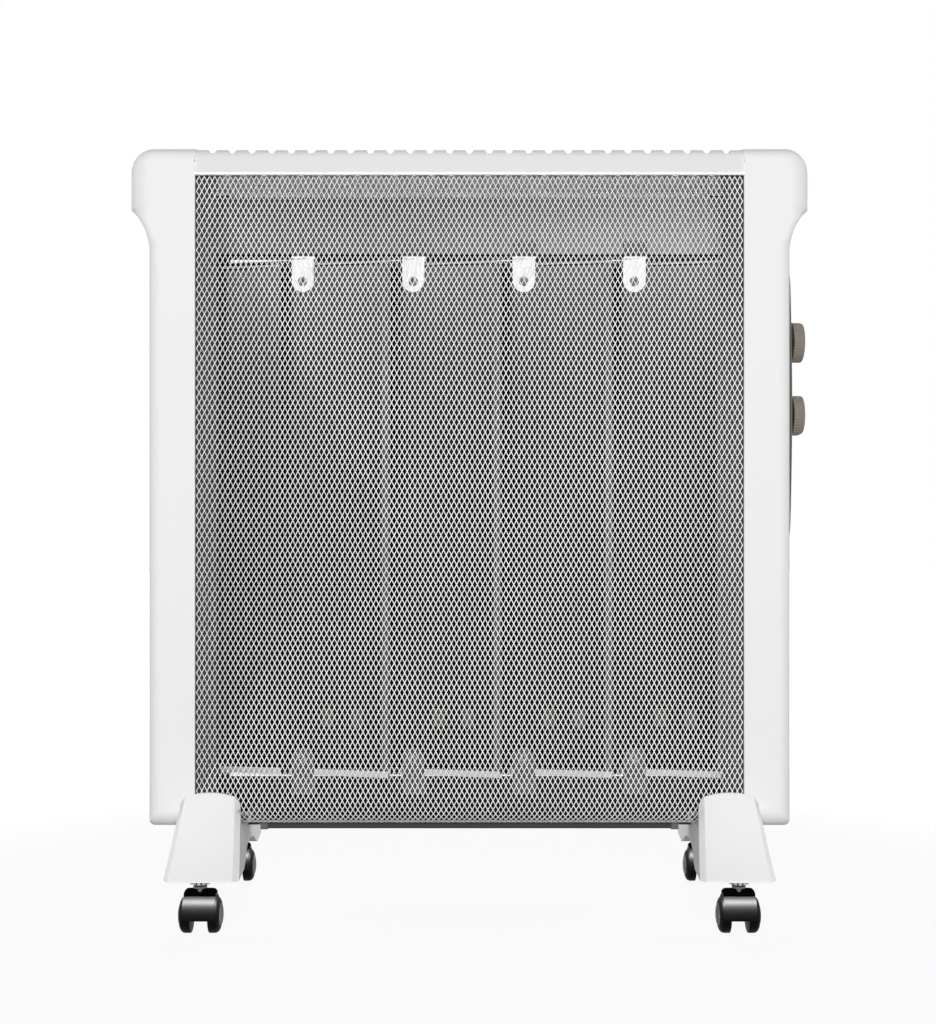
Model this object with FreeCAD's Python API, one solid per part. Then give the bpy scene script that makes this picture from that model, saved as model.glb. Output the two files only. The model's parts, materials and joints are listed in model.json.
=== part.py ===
import FreeCAD, Part
import math
import os

# Flat mica convector heater on four twin-wheel casters, in millimetres.
# The origin is on the floor under the middle of the body, +Z is up,
# the front faces -Y and the controls are on the +X side.

Vec = FreeCAD.Vector
os.makedirs("parts", exist_ok=True)

# Side covers
cover_inner_x = 230.4
cover_width = 38.8
grip_reach = 16.5
cover_depth = 92.0
cover_top_z = 645.0
cover_wall = 2.5
cover_edge_round = 10.0
cover_top_round = 20.0
cover_bottom_round = 11.0
grip_face_height = 50.8
grip_sweep_radius = 43.7

# Top grille
grille_drop = 1.3
grille_set_back = 1.5
grille_wall = 2.5
grille_skirt = 22.5
grille_edge_round = 6.0
grille_bead_height = 2.5
grille_bead_proud = 0.8
grille_seam = 0.3
slot_count = 27
slot_end_space = 14.3
slot_width = 6.3
slot_depth = 3.0
slot_front_wall = 1.2

# Mesh panels, whose coarse diamonds stand for a much finer expanded metal
panel_set_back = 6.0
panel_thickness = 1.0
panel_side_gap = 0.9
panel_tuck = 9.0
panel_lip_radius = 22.0
panel_lip_flat = 4.0
panel_border = 5.0
diamond_columns = 15
diamond_rows = 9
diamond_strand = 4.0

# Sheet-steel frame inside the casing
sheet = 1.2
end_flange = 17.0
end_foot_margin = 13.8
end_foot_gap = 2.0
lug_length = 22.0
lug_height = 12.0
lug_depth = 9.5
rail_flange = 12.0
upper_rail_gap = 1.0
upper_rail_height = 54.0
lower_rail_gap = 1.5
rail_screw_gap = 1.0
tray_foot_gap = 5.6
tray_half_depth = 22.0
tray_top_gap = 0.2
tray_drop = 6.0

# Heating elements
element_count = 4
element_end_space = 86.25
element_width = 152.0
element_bottom_gap = 38.0
element_top_gap = 64.2
element_thickness = 5.0
element_tilt = 13.0
frame_border = 6.0
board_thickness = 3.0
board_bite = 4.0
board_clearance = 0.1

# Element clips, their screws and the terminal tabs
clip_width = 19.5
clip_sheet = 1.2
clip_reach = 27.5
clip_seat = 15.0
clip_screw_inset = 9.0
clip_screw_radius = 2.0
clip_screw_tail = 1.5
screw_hole_gap = 0.2
screw_head_radius = 4.0
screw_head_height = 2.0
recess_width = 1.0
recess_length = 4.6
recess_depth = 0.9
terminal_width = 10.0
terminal_height = 16.0
terminal_sheet = 1.0
terminal_rise = 50.0
terminal_inner_offset = 22.0
terminal_outer_offset = 48.0

# Controls on the right-hand side
thermostat_rise = 56.0
control_spacing = 63.0
control_half_depth = 14.0
control_half_height = 16.0
control_body_length = 24.0
bush_radius = 4.75
bush_length = 6.0
bush_clearance = 0.1
shaft_radius = 3.0
shaft_clearance = 0.05
shaft_root_length = 15.0
shaft_end_gap = 0.3
nut_across_flats = 14.0
nut_height = 2.5
fascia_length = 257.0
fascia_top_gap = 1.5
fascia_width = 60.0
fascia_bulge = 7.6
fascia_rim = 1.5
fascia_side_fall = 4.0
fascia_wall = 2.2
fascia_shaft_gap = 0.5
knob_radius = 17.1
knob_length = 9.4
knob_lift = 0.8
knob_face_wall = 2.0
knob_edge_round = 2.0
knob_pointer_round = 5.0
flute_count = 36
flute_radius = 0.9
flute_depth = 0.35
lamp_drop = 51.0
lamp_radius = 2.5
lamp_length = 5.0
lamp_proud = 0.9
lamp_gap = 0.05

# Electrical parts inside
terminal_block_length = 22.0
terminal_block_half_depth = 15.0
terminal_block_gap = 16.0
terminal_block_height = 16.0
tip_switch_length = 18.0
tip_switch_half_depth = 12.0
tip_switch_rise = 23.0
tip_switch_height = 26.0
cutout_radius = 8.0
cutout_height = 7.0
wire_radius = 1.3
wire_half_spacing = 6.0

# Cord gland in the back of the right-hand cover
gland_inset = 21.6
gland_rise = 37.0
gland_bore_radius = 4.1
gland_sleeve_radius = 6.5
gland_flange_radius = 9.0
gland_flange_height = 3.0
gland_sleeve_length = 10.0
gland_gap = 0.1

# Cover screws, through the back of each cover into the end plates
cover_screw_inset = 15.6
cover_screw_rise = 105.0
cover_screw_drop = 125.0
cover_screw_radius = 1.6
cover_screw_length = 10.0
cover_screw_gap = 0.2

# Moulded feet
foot_inset = 16.4
foot_half_depth = 118.0
foot_lobe_height = 28.0
foot_bottom_half_width = 30.4
foot_top_half_width = 27.8
foot_crown_half_width = 16.8
foot_rear_narrowing = 10.0
foot_shoulder = 11.0
foot_toe_height = 3.0
foot_lobe_thickness = 4.0
foot_body_gap = 1.0
foot_hollow = 2.0
foot_chamfer = 5.0
arch_caster_gap = 38.0
arch_rise = 13.5
foot_web = 17.5
foot_screw_spacing = 20.0
foot_screw_radius = 2.0
foot_screw_tail = 5.0
foot_screw_sink = 4.0
foot_counterbore_gap = 0.5

# Casters
caster_inset = 18.0
caster_outset = 2.0
caster_trail = 3.0
wheel_radius = 14.7
caster_width = 35.6
wheel_gap = 12.5
wheel_edge_round = 1.0
wheel_flat = 6.0
wheel_cap_radius = 7.0
wheel_cap_bulge = 1.2
axle_radius = 2.0
axle_clearance = 0.08
axle_end_inset = 0.8
hood_wheel_gap = 0.6
hood_wall = 1.1
hood_width = 25.8
hood_lip_drop = 2.2
hood_rear_rise = 8.3
hood_rise = 21.0
hood_block_front = 10.0
hood_block_rear = 9.0
web_side_gap = 0.3
hub_radius = 4.0
pin_gap = 0.05
stem_radius = 4.0
stem_root = 6.2
stem_end_gap = 0.5
collar_radius = 5.5
collar_height = 5.5
collar_gap = 0.3
socket_sleeve_radius = 6.0
socket_sleeve_length = 10.0
socket_flange_radius = 8.0
socket_flange_height = 2.5
socket_clearance = 0.06
socket_notches = 10
socket_notch_width = 1.6
socket_notch_depth = 1.4

# Heights from the floor up: wheels, hood, foot and the seat of the body
axle_z = wheel_radius
hood_radius = wheel_radius + hood_wheel_gap + hood_wall
hood_lip_z = axle_z - hood_lip_drop
hood_rear_z = axle_z + hood_rear_rise
hood_top_z = axle_z + hood_rise
socket_flange_z = hood_top_z + collar_height + collar_gap
foot_bottom_z = socket_flange_z + socket_flange_height
arch_top_z = foot_bottom_z + arch_rise
cover_bottom_z = arch_top_z + foot_web
foot_top_z = cover_bottom_z + foot_lobe_height

# Places in the casing
cover_half_depth = cover_depth / 2
cover_outer_x = cover_inner_x + cover_width
grip_outer_x = cover_outer_x + grip_reach
grip_corner_z = cover_top_z - grip_face_height
grip_sweep_x = cover_outer_x + grip_sweep_radius
grip_sweep_z = grip_corner_z - math.sqrt(grip_sweep_radius ** 2 - (grip_sweep_x - grip_outer_x) ** 2)
cover_screw_x = cover_inner_x + cover_screw_inset
cover_screw_heights = (cover_bottom_z + cover_screw_rise, cover_top_z - cover_screw_drop)
gland_x = cover_inner_x + gland_inset
gland_z = cover_bottom_z + gland_rise
grille_top_z = cover_top_z - grille_drop
grille_bottom_z = grille_top_z - grille_skirt
grille_half_length = cover_inner_x - grille_seam
slot_pitch = 2 * (grille_half_length - slot_end_space) / (slot_count - 1)
panel_front_y = cover_half_depth - panel_set_back
panel_back_y = panel_front_y - panel_thickness
web_inner_x = cover_inner_x - sheet

# Places of the feet and casters
foot_x = cover_inner_x - foot_inset
caster_x = foot_x + caster_outset
foot_wall_y = cover_half_depth + foot_body_gap
caster_y = foot_half_depth - caster_inset
arch_half_length = caster_y - arch_caster_gap
end_foot_half_depth = panel_front_y - panel_lip_radius - panel_lip_flat - end_foot_gap
tray_half_length = foot_x - foot_bottom_half_width - tray_foot_gap
tray_height = tray_drop - tray_top_gap

# Places of the elements and the electrical parts
element_bottom_z = cover_bottom_z + element_bottom_gap
element_top_z = grille_bottom_z - element_top_gap
element_pitch = 2 * (web_inner_x - element_end_space) / (element_count - 1)
terminal_z = element_bottom_z + terminal_rise
upper_rail_z = element_top_z + upper_rail_gap
cutout_x = element_pitch
cutout_z = upper_rail_z + upper_rail_height / 2
tip_switch_z = cover_bottom_z + tip_switch_rise
terminal_block_z = tip_switch_z + tip_switch_height + terminal_block_gap

# Places of the controls
fascia_outer_x = cover_outer_x + fascia_bulge
fascia_mid_z = grip_sweep_z - fascia_top_gap - fascia_length / 2
thermostat_z = fascia_mid_z + thermostat_rise
selector_z = thermostat_z - control_spacing
lamp_z = selector_z - lamp_drop
knob_base_x = fascia_outer_x + knob_lift
knob_face_x = knob_base_x + knob_length


def save(name, shape):
    shape.exportStep("parts/" + name + ".step")


def block(x0, x1, y0, y1, z0, z1):
    return Part.makeBox(x1 - x0, y1 - y0, z1 - z0, Vec(x0, y0, z0))


def rod_x(x0, x1, y, z, radius):
    return Part.makeCylinder(radius, x1 - x0, Vec(x0, y, z), Vec(1, 0, 0))


def rod_y(y0, y1, x, z, radius):
    return Part.makeCylinder(radius, y1 - y0, Vec(x, y0, z), Vec(0, 1, 0))


def rod_z(z0, z1, x, y, radius):
    return Part.makeCylinder(radius, z1 - z0, Vec(x, y, z0), Vec(0, 0, 1))


def outline(start, steps):
    # A closed wire: each step is an end point, or a point on an arc with its end point.
    edges = []
    here = start
    for step in steps:
        if isinstance(step, tuple):
            through, end = step
            edges.append(Part.Arc(here, through, end).toShape())
            here = end
        else:
            edges.append(Part.LineSegment(here, step).toShape())
            here = step
    edges.append(Part.LineSegment(here, start).toShape())
    return Part.Wire(edges)


def prism(wire, direction):
    return Part.Face(wire).extrude(direction)


def corner_mid(centre_a, centre_b, radius, angle):
    # The point on a rounded corner at an angle in the outline's own plane.
    a = centre_a + radius * math.cos(math.radians(angle))
    b = centre_b + radius * math.sin(math.radians(angle))
    return a, b


def flip_x(shape):
    return shape.mirror(Vec(0, 0, 0), Vec(1, 0, 0))


def flip_y(shape):
    return shape.mirror(Vec(0, 0, 0), Vec(0, 1, 0))


def cover_block(inset):
    # The outer form of the right-hand cover, or its cavity when inset by the wall.
    inner_x = cover_inner_x - inset
    side_x = cover_outer_x - inset
    grip_x = grip_outer_x - inset
    low_z = cover_bottom_z + inset
    high_z = cover_top_z - inset
    top_r = cover_top_round - inset
    low_r = cover_bottom_round - inset
    half_depth = cover_half_depth - inset
    sweep_r = grip_sweep_radius + inset
    sweep_angle = math.acos((grip_sweep_x - grip_x) / sweep_r)
    corner_z = grip_sweep_z + sweep_r * math.sin(sweep_angle)

    def at(x, z):
        return Vec(x, -half_depth, z)

    low_mid = at(*corner_mid(side_x - low_r, low_z + low_r, low_r, -45))
    top_mid = at(*corner_mid(grip_x - top_r, high_z - top_r, top_r, 45))
    sweep_mid = at(grip_sweep_x - sweep_r * math.cos(sweep_angle / 2),
                   grip_sweep_z + sweep_r * math.sin(sweep_angle / 2))
    wire = outline(at(inner_x, low_z), [
        at(side_x - low_r, low_z),
        (low_mid, at(side_x, low_z + low_r)),
        at(side_x, grip_sweep_z),
        (sweep_mid, at(grip_x, corner_z)),
        at(grip_x, high_z - top_r),
        (top_mid, at(grip_x - top_r, high_z)),
        at(inner_x, high_z),
    ])
    solid = prism(wire, Vec(0, 2 * half_depth, 0))
    rims = []
    for edge in solid.Edges:
        flat = all(abs(abs(v.Y) - half_depth) < 1e-6 for v in edge.Vertexes)
        inner = all(abs(v.X - inner_x) < 1e-6 for v in edge.Vertexes)
        crossing = abs(edge.BoundBox.YLength) > 1e-3
        if flat and not inner and not crossing:
            rims.append(edge)
    return solid.makeFillet(cover_edge_round - inset, rims)


def side_cover():
    shell = cover_block(0).cut(cover_block(cover_wall))
    wall_y = cover_half_depth - cover_wall
    for z in cover_screw_heights:
        hole = rod_y(wall_y - cover_wall, cover_half_depth + cover_wall, cover_screw_x, z,
                     cover_screw_radius + cover_screw_gap)
        shell = shell.cut(hole)
    return shell


def right_cover(shell):
    wall_x = cover_outer_x - cover_wall
    for z in (thermostat_z, selector_z):
        shell = shell.cut(rod_x(wall_x - cover_wall, cover_outer_x + cover_wall, 0, z,
                                bush_radius + bush_clearance))
    return shell.cut(rod_y(cover_half_depth - 2 * cover_wall, cover_half_depth + cover_wall,
                           gland_x, gland_z, gland_sleeve_radius + gland_gap))


def top_grille():
    front = cover_half_depth - grille_set_back
    bead_y = front + grille_bead_proud
    bead_z = grille_bottom_z + grille_bead_height
    half = grille_half_length
    r = grille_edge_round
    inner_y = front - grille_wall
    inner_z = grille_top_z - grille_wall

    def at(y, z):
        return Vec(-half, y, z)

    wire = outline(at(-bead_y, grille_bottom_z), [
        at(-bead_y, bead_z),
        at(-front, bead_z + grille_bead_proud),
        at(-front, grille_top_z - r),
        (at(*corner_mid(-front + r, grille_top_z - r, r, 135)), at(-front + r, grille_top_z)),
        at(front - r, grille_top_z),
        (at(*corner_mid(front - r, grille_top_z - r, r, 45)), at(front, grille_top_z - r)),
        at(front, bead_z + grille_bead_proud),
        at(bead_y, bead_z),
        at(bead_y, grille_bottom_z),
        at(inner_y, grille_bottom_z),
        at(inner_y, inner_z),
        at(-inner_y, inner_z),
        at(-inner_y, grille_bottom_z),
    ])
    channel = prism(wire, Vec(2 * half, 0, 0))
    slots = []
    for i in range(slot_count):
        x = (i - (slot_count - 1) / 2) * slot_pitch
        slots.append(block(x - slot_width / 2, x + slot_width / 2,
                           -front + slot_front_wall, front - slot_front_wall,
                           grille_top_z - slot_depth, grille_top_z + slot_depth))
    return channel.cut(slots)


def diamond(x, z, half_width, half_height):
    points = [(x - half_width, z), (x, z - half_height), (x + half_width, z), (x, z + half_height)]
    corners = [Vec(px, -panel_front_y, pz) for px, pz in points]
    return Part.makePolygon(corners + corners[:1])


def mesh_panel():
    # The front panel: a flat sheet with diamond openings and a lip rolled under the body.
    half = cover_inner_x - panel_side_gap
    low_z = cover_bottom_z + panel_lip_radius
    high_z = grille_bottom_z + panel_tuck
    cell_x = 2 * (half - panel_border) / diamond_columns
    cell_z = (high_z - low_z - 2 * panel_border) / diamond_rows
    slope = math.hypot(cell_x, cell_z)
    half_x = cell_x / 2 - diamond_strand * slope / cell_z / 2
    half_z = cell_z / 2 - diamond_strand * slope / cell_x / 2
    left_x = -half + panel_border + cell_x / 2
    first_z = low_z + panel_border + cell_z / 2
    rim = Part.makePolygon([
        Vec(-half, -panel_front_y, low_z), Vec(half, -panel_front_y, low_z),
        Vec(half, -panel_front_y, high_z), Vec(-half, -panel_front_y, high_z),
        Vec(-half, -panel_front_y, low_z)])
    wires = [rim]
    for row in range(diamond_rows):
        for column in range(diamond_columns):
            x = left_x + column * cell_x
            z = first_z + row * cell_z
            wires.append(diamond(x, z, half_x, half_z))
            if row < diamond_rows - 1 and column < diamond_columns - 1:
                wires.append(diamond(x + cell_x / 2, z + cell_z / 2, half_x, half_z))
    sheet_face = Part.makeFace(wires, "Part::FaceMakerBullseye")
    flat = sheet_face.extrude(Vec(0, panel_thickness, 0))
    r = panel_lip_radius
    inner_r = r - panel_thickness
    turn_y = -panel_front_y + r

    def at(y, z):
        return Vec(-half, y, z)

    lip_wire = outline(at(-panel_front_y, low_z), [
        (at(*corner_mid(turn_y, low_z, r, 225)), at(turn_y, low_z - r)),
        at(turn_y + panel_lip_flat, low_z - r),
        at(turn_y + panel_lip_flat, low_z - inner_r),
        at(turn_y, low_z - inner_r),
        (at(*corner_mid(turn_y, low_z, inner_r, 225)), at(turn_y - inner_r, low_z)),
    ])
    return flat.fuse(prism(lip_wire, Vec(2 * half, 0, 0))).removeSplitter()


def end_plate():
    # The right-hand plate: a channel with a bottom flange on the foot and two screw lugs.
    high_z = grille_top_z - grille_wall
    plate = block(web_inner_x, cover_inner_x, -panel_back_y, panel_back_y, cover_bottom_z, high_z)
    flange_top = grille_bottom_z
    flange_low = cover_bottom_z + panel_lip_radius
    for side in (-1, 1):
        y_out = side * panel_back_y
        y_in = side * (panel_back_y - sheet)
        plate = plate.fuse(block(web_inner_x - end_flange, web_inner_x,
                                 min(y_out, y_in), max(y_out, y_in), flange_low, flange_top))
    corner = panel_lip_radius + panel_lip_flat
    for side in (-1, 1):
        edge_y = side * panel_back_y
        cut_y = side * (panel_back_y - corner)
        plate = plate.cut(block(web_inner_x - sheet, cover_inner_x + sheet,
                                min(edge_y, cut_y), max(edge_y, cut_y),
                                cover_bottom_z - sheet, flange_low))
    plate = plate.fuse(block(foot_screw_places()[0] - end_foot_margin, web_inner_x,
                             -end_foot_half_depth, end_foot_half_depth,
                             cover_bottom_z, cover_bottom_z + sheet))
    wall_y = cover_half_depth - cover_wall
    for z in cover_screw_heights:
        lug = block(cover_inner_x, cover_inner_x + lug_length, wall_y - lug_depth, wall_y,
                    z - lug_height / 2, z + lug_height / 2)
        pilot = rod_y(wall_y - lug_depth, wall_y, cover_screw_x, z,
                      cover_screw_radius + shaft_clearance)
        plate = plate.fuse(lug).cut(pilot)
    for x in foot_screw_places():
        plate = plate.cut(rod_z(cover_bottom_z - sheet, cover_bottom_z + 2 * sheet, x, 0,
                                foot_screw_radius + shaft_clearance))
    return plate.removeSplitter()


def upper_rail():
    high_z = upper_rail_z + upper_rail_height
    plate = block(-web_inner_x, web_inner_x, 0, sheet, upper_rail_z, high_z)
    flange = block(-web_inner_x, web_inner_x, 0, rail_flange, high_z - sheet, high_z)
    return plate.fuse(flange).removeSplitter()


def lower_rail():
    high_z = element_bottom_z - lower_rail_gap
    tray_floor_z = cover_bottom_z - tray_drop + sheet
    end_low_z = cover_bottom_z + foot_screw_tail + rail_screw_gap
    middle = block(-tray_half_length, tray_half_length, 0, sheet, tray_floor_z, high_z)
    whole = block(-web_inner_x, web_inner_x, 0, sheet, end_low_z, high_z)
    return middle.fuse(whole).removeSplitter()


def bottom_tray():
    low_z = cover_bottom_z - tray_drop
    outer = block(-tray_half_length, tray_half_length, -tray_half_depth, tray_half_depth,
                  low_z, low_z + tray_height)
    hollow = block(-tray_half_length + sheet, tray_half_length - sheet,
                   -tray_half_depth + sheet, tray_half_depth - sheet,
                   low_z + sheet, low_z + 2 * tray_height)
    rail_notch = block(-2 * tray_half_length, 2 * tray_half_length, -shaft_clearance,
                       sheet + shaft_clearance, low_z + sheet, low_z + 2 * tray_height)
    return outer.cut(hollow).cut(rail_notch)


def element_x(index):
    return (index - (element_count - 1) / 2) * element_pitch


def on_element(shape, index):
    # Turns a piece drawn flat in XZ to the tilt of an element and takes it to its place.
    placed = shape.copy()
    placed.rotate(Vec(0, 0, 0), Vec(0, 0, 1), -element_tilt)
    placed.translate(Vec(element_x(index), 0, 0))
    return placed


def clip_screw_heights():
    upper = element_top_z - clip_reach + clip_screw_inset
    lower = element_bottom_z + clip_reach - clip_screw_inset - board_bite
    return lower, upper


def mica_board():
    half = element_width / 2 - frame_border + board_bite
    trim = frame_border - board_bite
    board = block(-half, half, -board_thickness / 2, board_thickness / 2,
                  element_bottom_z + trim, element_top_z - trim)
    for z in clip_screw_heights():
        board = board.cut(rod_y(-board_thickness, board_thickness, 0, z,
                                clip_screw_radius + screw_hole_gap))
    return board


def element_frame():
    half = element_width / 2
    depth = element_thickness / 2
    outer = block(-half, half, -depth, depth, element_bottom_z, element_top_z)
    window = block(-half + frame_border, half - frame_border, -element_thickness, element_thickness,
                   element_bottom_z + frame_border, element_top_z - frame_border)
    trim = frame_border - board_bite - board_clearance
    groove = block(-half + trim, half - trim,
                   -board_thickness / 2 - board_clearance, board_thickness / 2 + board_clearance,
                   element_bottom_z + trim, element_top_z - trim)
    return outer.cut(window).cut(groove)


def element_clip(index, upper):
    # A tab on the element's front, round at its free end, with a square seat on the rail.
    back = -element_thickness / 2
    front = back - clip_sheet
    half = clip_width / 2
    screw_z = clip_screw_heights()[1 if upper else 0]
    if upper:
        round_z = element_top_z - clip_reach + half
        seat_low = upper_rail_z
        seat_high = seat_low + clip_seat
        tab = block(-half, half, front, back, round_z, seat_high)
    else:
        round_z = element_bottom_z - board_bite + clip_reach - half
        seat_high = element_bottom_z - lower_rail_gap
        seat_low = seat_high - clip_seat
        tab = block(-half, half, front, back, seat_low, round_z)
    tab = tab.fuse(rod_y(front, back, 0, round_z, half))
    tab = tab.cut(rod_y(2 * front, 0, 0, screw_z, clip_screw_radius + screw_hole_gap))
    lean = math.radians(element_tilt)
    seat_y = front * math.cos(lean) - half * math.sin(lean)
    middle_x = element_x(index)
    seat = block(middle_x - half, middle_x + half, seat_y, 0, seat_low, seat_high)
    return on_element(tab, index).fuse(seat).removeSplitter()


def pan_screw(shank_radius, shank_length):
    # A cross-head screw along +Y: its head is in front of y = 0 and its shank behind.
    head = rod_y(-screw_head_height, 0, 0, 0, screw_head_radius)
    rim = [e for e in head.Edges if abs(e.BoundBox.YMax + screw_head_height) < 1e-6]
    head = head.makeFillet(screw_head_height / 2, rim)
    screw = head.fuse(rod_y(0, shank_length, 0, 0, shank_radius))
    deep = -screw_head_height + recess_depth
    half_l = recess_length / 2
    half_w = recess_width / 2
    screw = screw.cut(block(-half_l, half_l, -2 * screw_head_height, deep, -half_w, half_w))
    return screw.cut(block(-half_w, half_w, -2 * screw_head_height, deep, -half_l, half_l))


def clip_screws():
    screws = []
    head_y = -element_thickness / 2 - clip_sheet
    length = -head_y + board_thickness / 2 + clip_screw_tail
    for index in range(element_count):
        for z in clip_screw_heights():
            screw = pan_screw(clip_screw_radius, length)
            screw.translate(Vec(0, head_y, z))
            screws.append(on_element(screw, index))
    return Part.makeCompound(screws)


def element_terminals():
    tabs = []
    back = -board_thickness / 2
    for index in range(element_count):
        for offset in (terminal_inner_offset, terminal_outer_offset):
            tab = block(offset - terminal_width / 2, offset + terminal_width / 2,
                        back - terminal_sheet, back,
                        terminal_z - terminal_height / 2, terminal_z + terminal_height / 2)
            tabs.append(on_element(tab, index))
    return Part.makeCompound(tabs)


def control_body(z):
    # A switch body on the inside of the cover's wall, with the threaded bush of its shaft.
    face_x = cover_outer_x - cover_wall
    body = block(face_x - control_body_length, face_x, -control_half_depth, control_half_depth,
                 z - control_half_height, z + control_half_height)
    body = body.fuse(rod_x(face_x, face_x + bush_length, 0, z, bush_radius))
    bore = rod_x(face_x - shaft_root_length - shaft_end_gap, face_x + 2 * bush_length, 0, z,
                 shaft_radius + shaft_clearance)
    return body.cut(bore).removeSplitter()


def control_nuts():
    nuts = []
    corner = nut_across_flats / math.sqrt(3)
    for z in (thermostat_z, selector_z):
        points = []
        for i in range(6):
            angle = math.radians(60 * i)
            points.append(Vec(cover_outer_x, corner * math.cos(angle), z + corner * math.sin(angle)))
        nut = prism(Part.makePolygon(points + points[:1]), Vec(nut_height, 0, 0))
        nuts.append(nut.cut(rod_x(cover_outer_x, cover_outer_x + nut_height, 0, z,
                                  bush_radius + shaft_clearance)))
    return Part.makeCompound(nuts)


def control_shaft(z):
    root_x = cover_outer_x - cover_wall - shaft_root_length
    return rod_x(root_x, knob_face_x - knob_face_wall - shaft_end_gap, 0, z, shaft_radius)


def control_knob(z, pointer):
    # A fluted knob whose pointer side, up or down, is rounded more than the rest.
    knob = rod_x(knob_base_x, knob_face_x, 0, z, knob_radius)
    rim = [e for e in knob.Edges if abs(e.BoundBox.XMin - knob_face_x) < 1e-6]
    knob = knob.makeFillet(knob_edge_round, rim)
    r = knob_pointer_round
    edge_z = z + pointer * knob_radius
    centre_z = edge_z - pointer * r
    spare = block(knob_face_x - r, knob_face_x + r, -knob_radius, knob_radius,
                  min(centre_z, edge_z + pointer * r), max(centre_z, edge_z + pointer * r))
    spare = spare.cut(rod_y(-2 * knob_radius, 2 * knob_radius, knob_face_x - r, centre_z, r))
    knob = knob.cut(spare)
    flutes = []
    for i in range(flute_count):
        angle = 2 * math.pi * (i + 0.5) / flute_count
        reach = knob_radius + flute_radius - flute_depth
        flutes.append(rod_x(knob_base_x - knob_length, knob_face_x - knob_edge_round,
                            reach * math.cos(angle), z + reach * math.sin(angle), flute_radius))
    knob = knob.cut(flutes)
    return knob.cut(rod_x(knob_base_x, knob_face_x - knob_face_wall, 0, z,
                          shaft_radius + shaft_clearance))


def bow_fall(half_span, end_fall, distance):
    # How far a shallow arc has dropped at a distance from its middle.
    radius = (half_span ** 2 + end_fall ** 2) / (2 * end_fall)
    return radius - math.sqrt(radius ** 2 - distance ** 2)


def fascia_block(inset):
    # A tall oval pillow on the cover's side, bowed along its height and across its width.
    half_l = fascia_length / 2 - inset
    half_w = fascia_width / 2 - inset
    top_x = fascia_outer_x - inset
    low_z = fascia_mid_z - half_l
    high_z = fascia_mid_z + half_l
    spare = 2 * fascia_bulge

    def flat(y, z):
        return Vec(cover_outer_x, y, z)

    oval = outline(flat(-half_w, low_z + half_w), [
        (flat(0, low_z), flat(half_w, low_z + half_w)),
        flat(half_w, high_z - half_w),
        (flat(0, high_z), flat(-half_w, high_z - half_w)),
    ])
    end_fall = top_x - cover_outer_x - fascia_rim + inset / 2
    end_x = top_x - bow_fall(half_l, end_fall, half_l + spare)
    axis_x = top_x - (half_w ** 2 + fascia_side_fall ** 2) / (2 * fascia_side_fall)

    def side(x, z):
        return Vec(x, 0, z)

    bow = outline(side(axis_x, low_z - spare), [
        side(end_x, low_z - spare),
        (side(top_x, fascia_mid_z), side(end_x, high_z + spare)),
        side(axis_x, high_z + spare),
    ])
    barrel = Part.Face(bow).revolve(side(axis_x, 0), Vec(0, 0, 1), 360)
    return prism(oval, Vec(spare, 0, 0)).common(barrel)


def lamp_face_x():
    # Height of the fascia's bowed surface where the pilot lamp comes through.
    rise = fascia_bulge - fascia_rim
    return fascia_outer_x - bow_fall(fascia_length / 2, rise, fascia_mid_z - lamp_z)


def control_fascia():
    shell = fascia_block(0).cut(fascia_block(fascia_wall))
    for z in (thermostat_z, selector_z):
        shell = shell.cut(rod_x(cover_outer_x, knob_face_x, 0, z, shaft_radius + fascia_shaft_gap))
    return shell.cut(rod_x(cover_outer_x, knob_face_x, 0, lamp_z, lamp_radius + lamp_gap))


def pilot_lamp():
    face_x = lamp_face_x() + lamp_proud
    lamp = rod_x(face_x - lamp_length, face_x, 0, lamp_z, lamp_radius)
    rim = [e for e in lamp.Edges if abs(e.BoundBox.XMin - face_x) < 1e-6]
    return lamp.makeFillet(lamp_proud * 0.8, rim)


def terminal_block():
    body = block(cover_inner_x, cover_inner_x + terminal_block_length,
                 -terminal_block_half_depth, terminal_block_half_depth,
                 terminal_block_z, terminal_block_z + terminal_block_height)
    top_z = terminal_block_z + terminal_block_height
    for side in (-1, 0, 1):
        x = cover_inner_x + terminal_block_length / 3
        y = side * terminal_block_half_depth * 0.6
        body = body.cut(rod_z(top_z - terminal_block_height / 2, top_z, x, y, screw_head_radius / 2))
    return body


def tip_over_switch():
    return block(cover_inner_x, cover_inner_x + tip_switch_length,
                 -tip_switch_half_depth, tip_switch_half_depth,
                 tip_switch_z, tip_switch_z + tip_switch_height)


def thermal_cutout():
    return rod_y(sheet, sheet + cutout_height, cutout_x, cutout_z, cutout_radius)


def internal_wiring():
    # Straight wires from block to block down the inside of the right-hand cover.
    switch_x = cover_outer_x - cover_wall - control_body_length
    block_x = cover_inner_x + terminal_block_length
    long_x = (switch_x + block_x) / 2
    block_top = terminal_block_z + terminal_block_height
    switch_top = tip_switch_z + tip_switch_height
    short_x = cover_inner_x + tip_switch_length / 2
    wires = []
    for side in (-1, 1):
        y = side * wire_half_spacing
        wires.append(rod_z(block_top, selector_z - control_half_height, long_x, y, wire_radius))
        wires.append(rod_z(selector_z + control_half_height, thermostat_z - control_half_height,
                           long_x, y, wire_radius))
        wires.append(rod_z(switch_top, terminal_block_z, short_x, y, wire_radius))
    return Part.makeCompound(wires)


def cord_gland():
    out_y = cover_half_depth
    gland = rod_y(out_y - gland_sleeve_length, out_y, gland_x, gland_z, gland_sleeve_radius)
    flange = rod_y(out_y, out_y + gland_flange_height, gland_x, gland_z, gland_flange_radius)
    rim = [e for e in flange.Edges if abs(e.BoundBox.YMin - out_y - gland_flange_height) < 1e-6]
    flange = flange.makeFillet(gland_flange_height / 3, rim)
    bore = rod_y(out_y - 2 * gland_sleeve_length, out_y + 2 * gland_flange_height,
                 gland_x, gland_z, gland_bore_radius)
    return gland.fuse(flange).cut(bore).removeSplitter()


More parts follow.
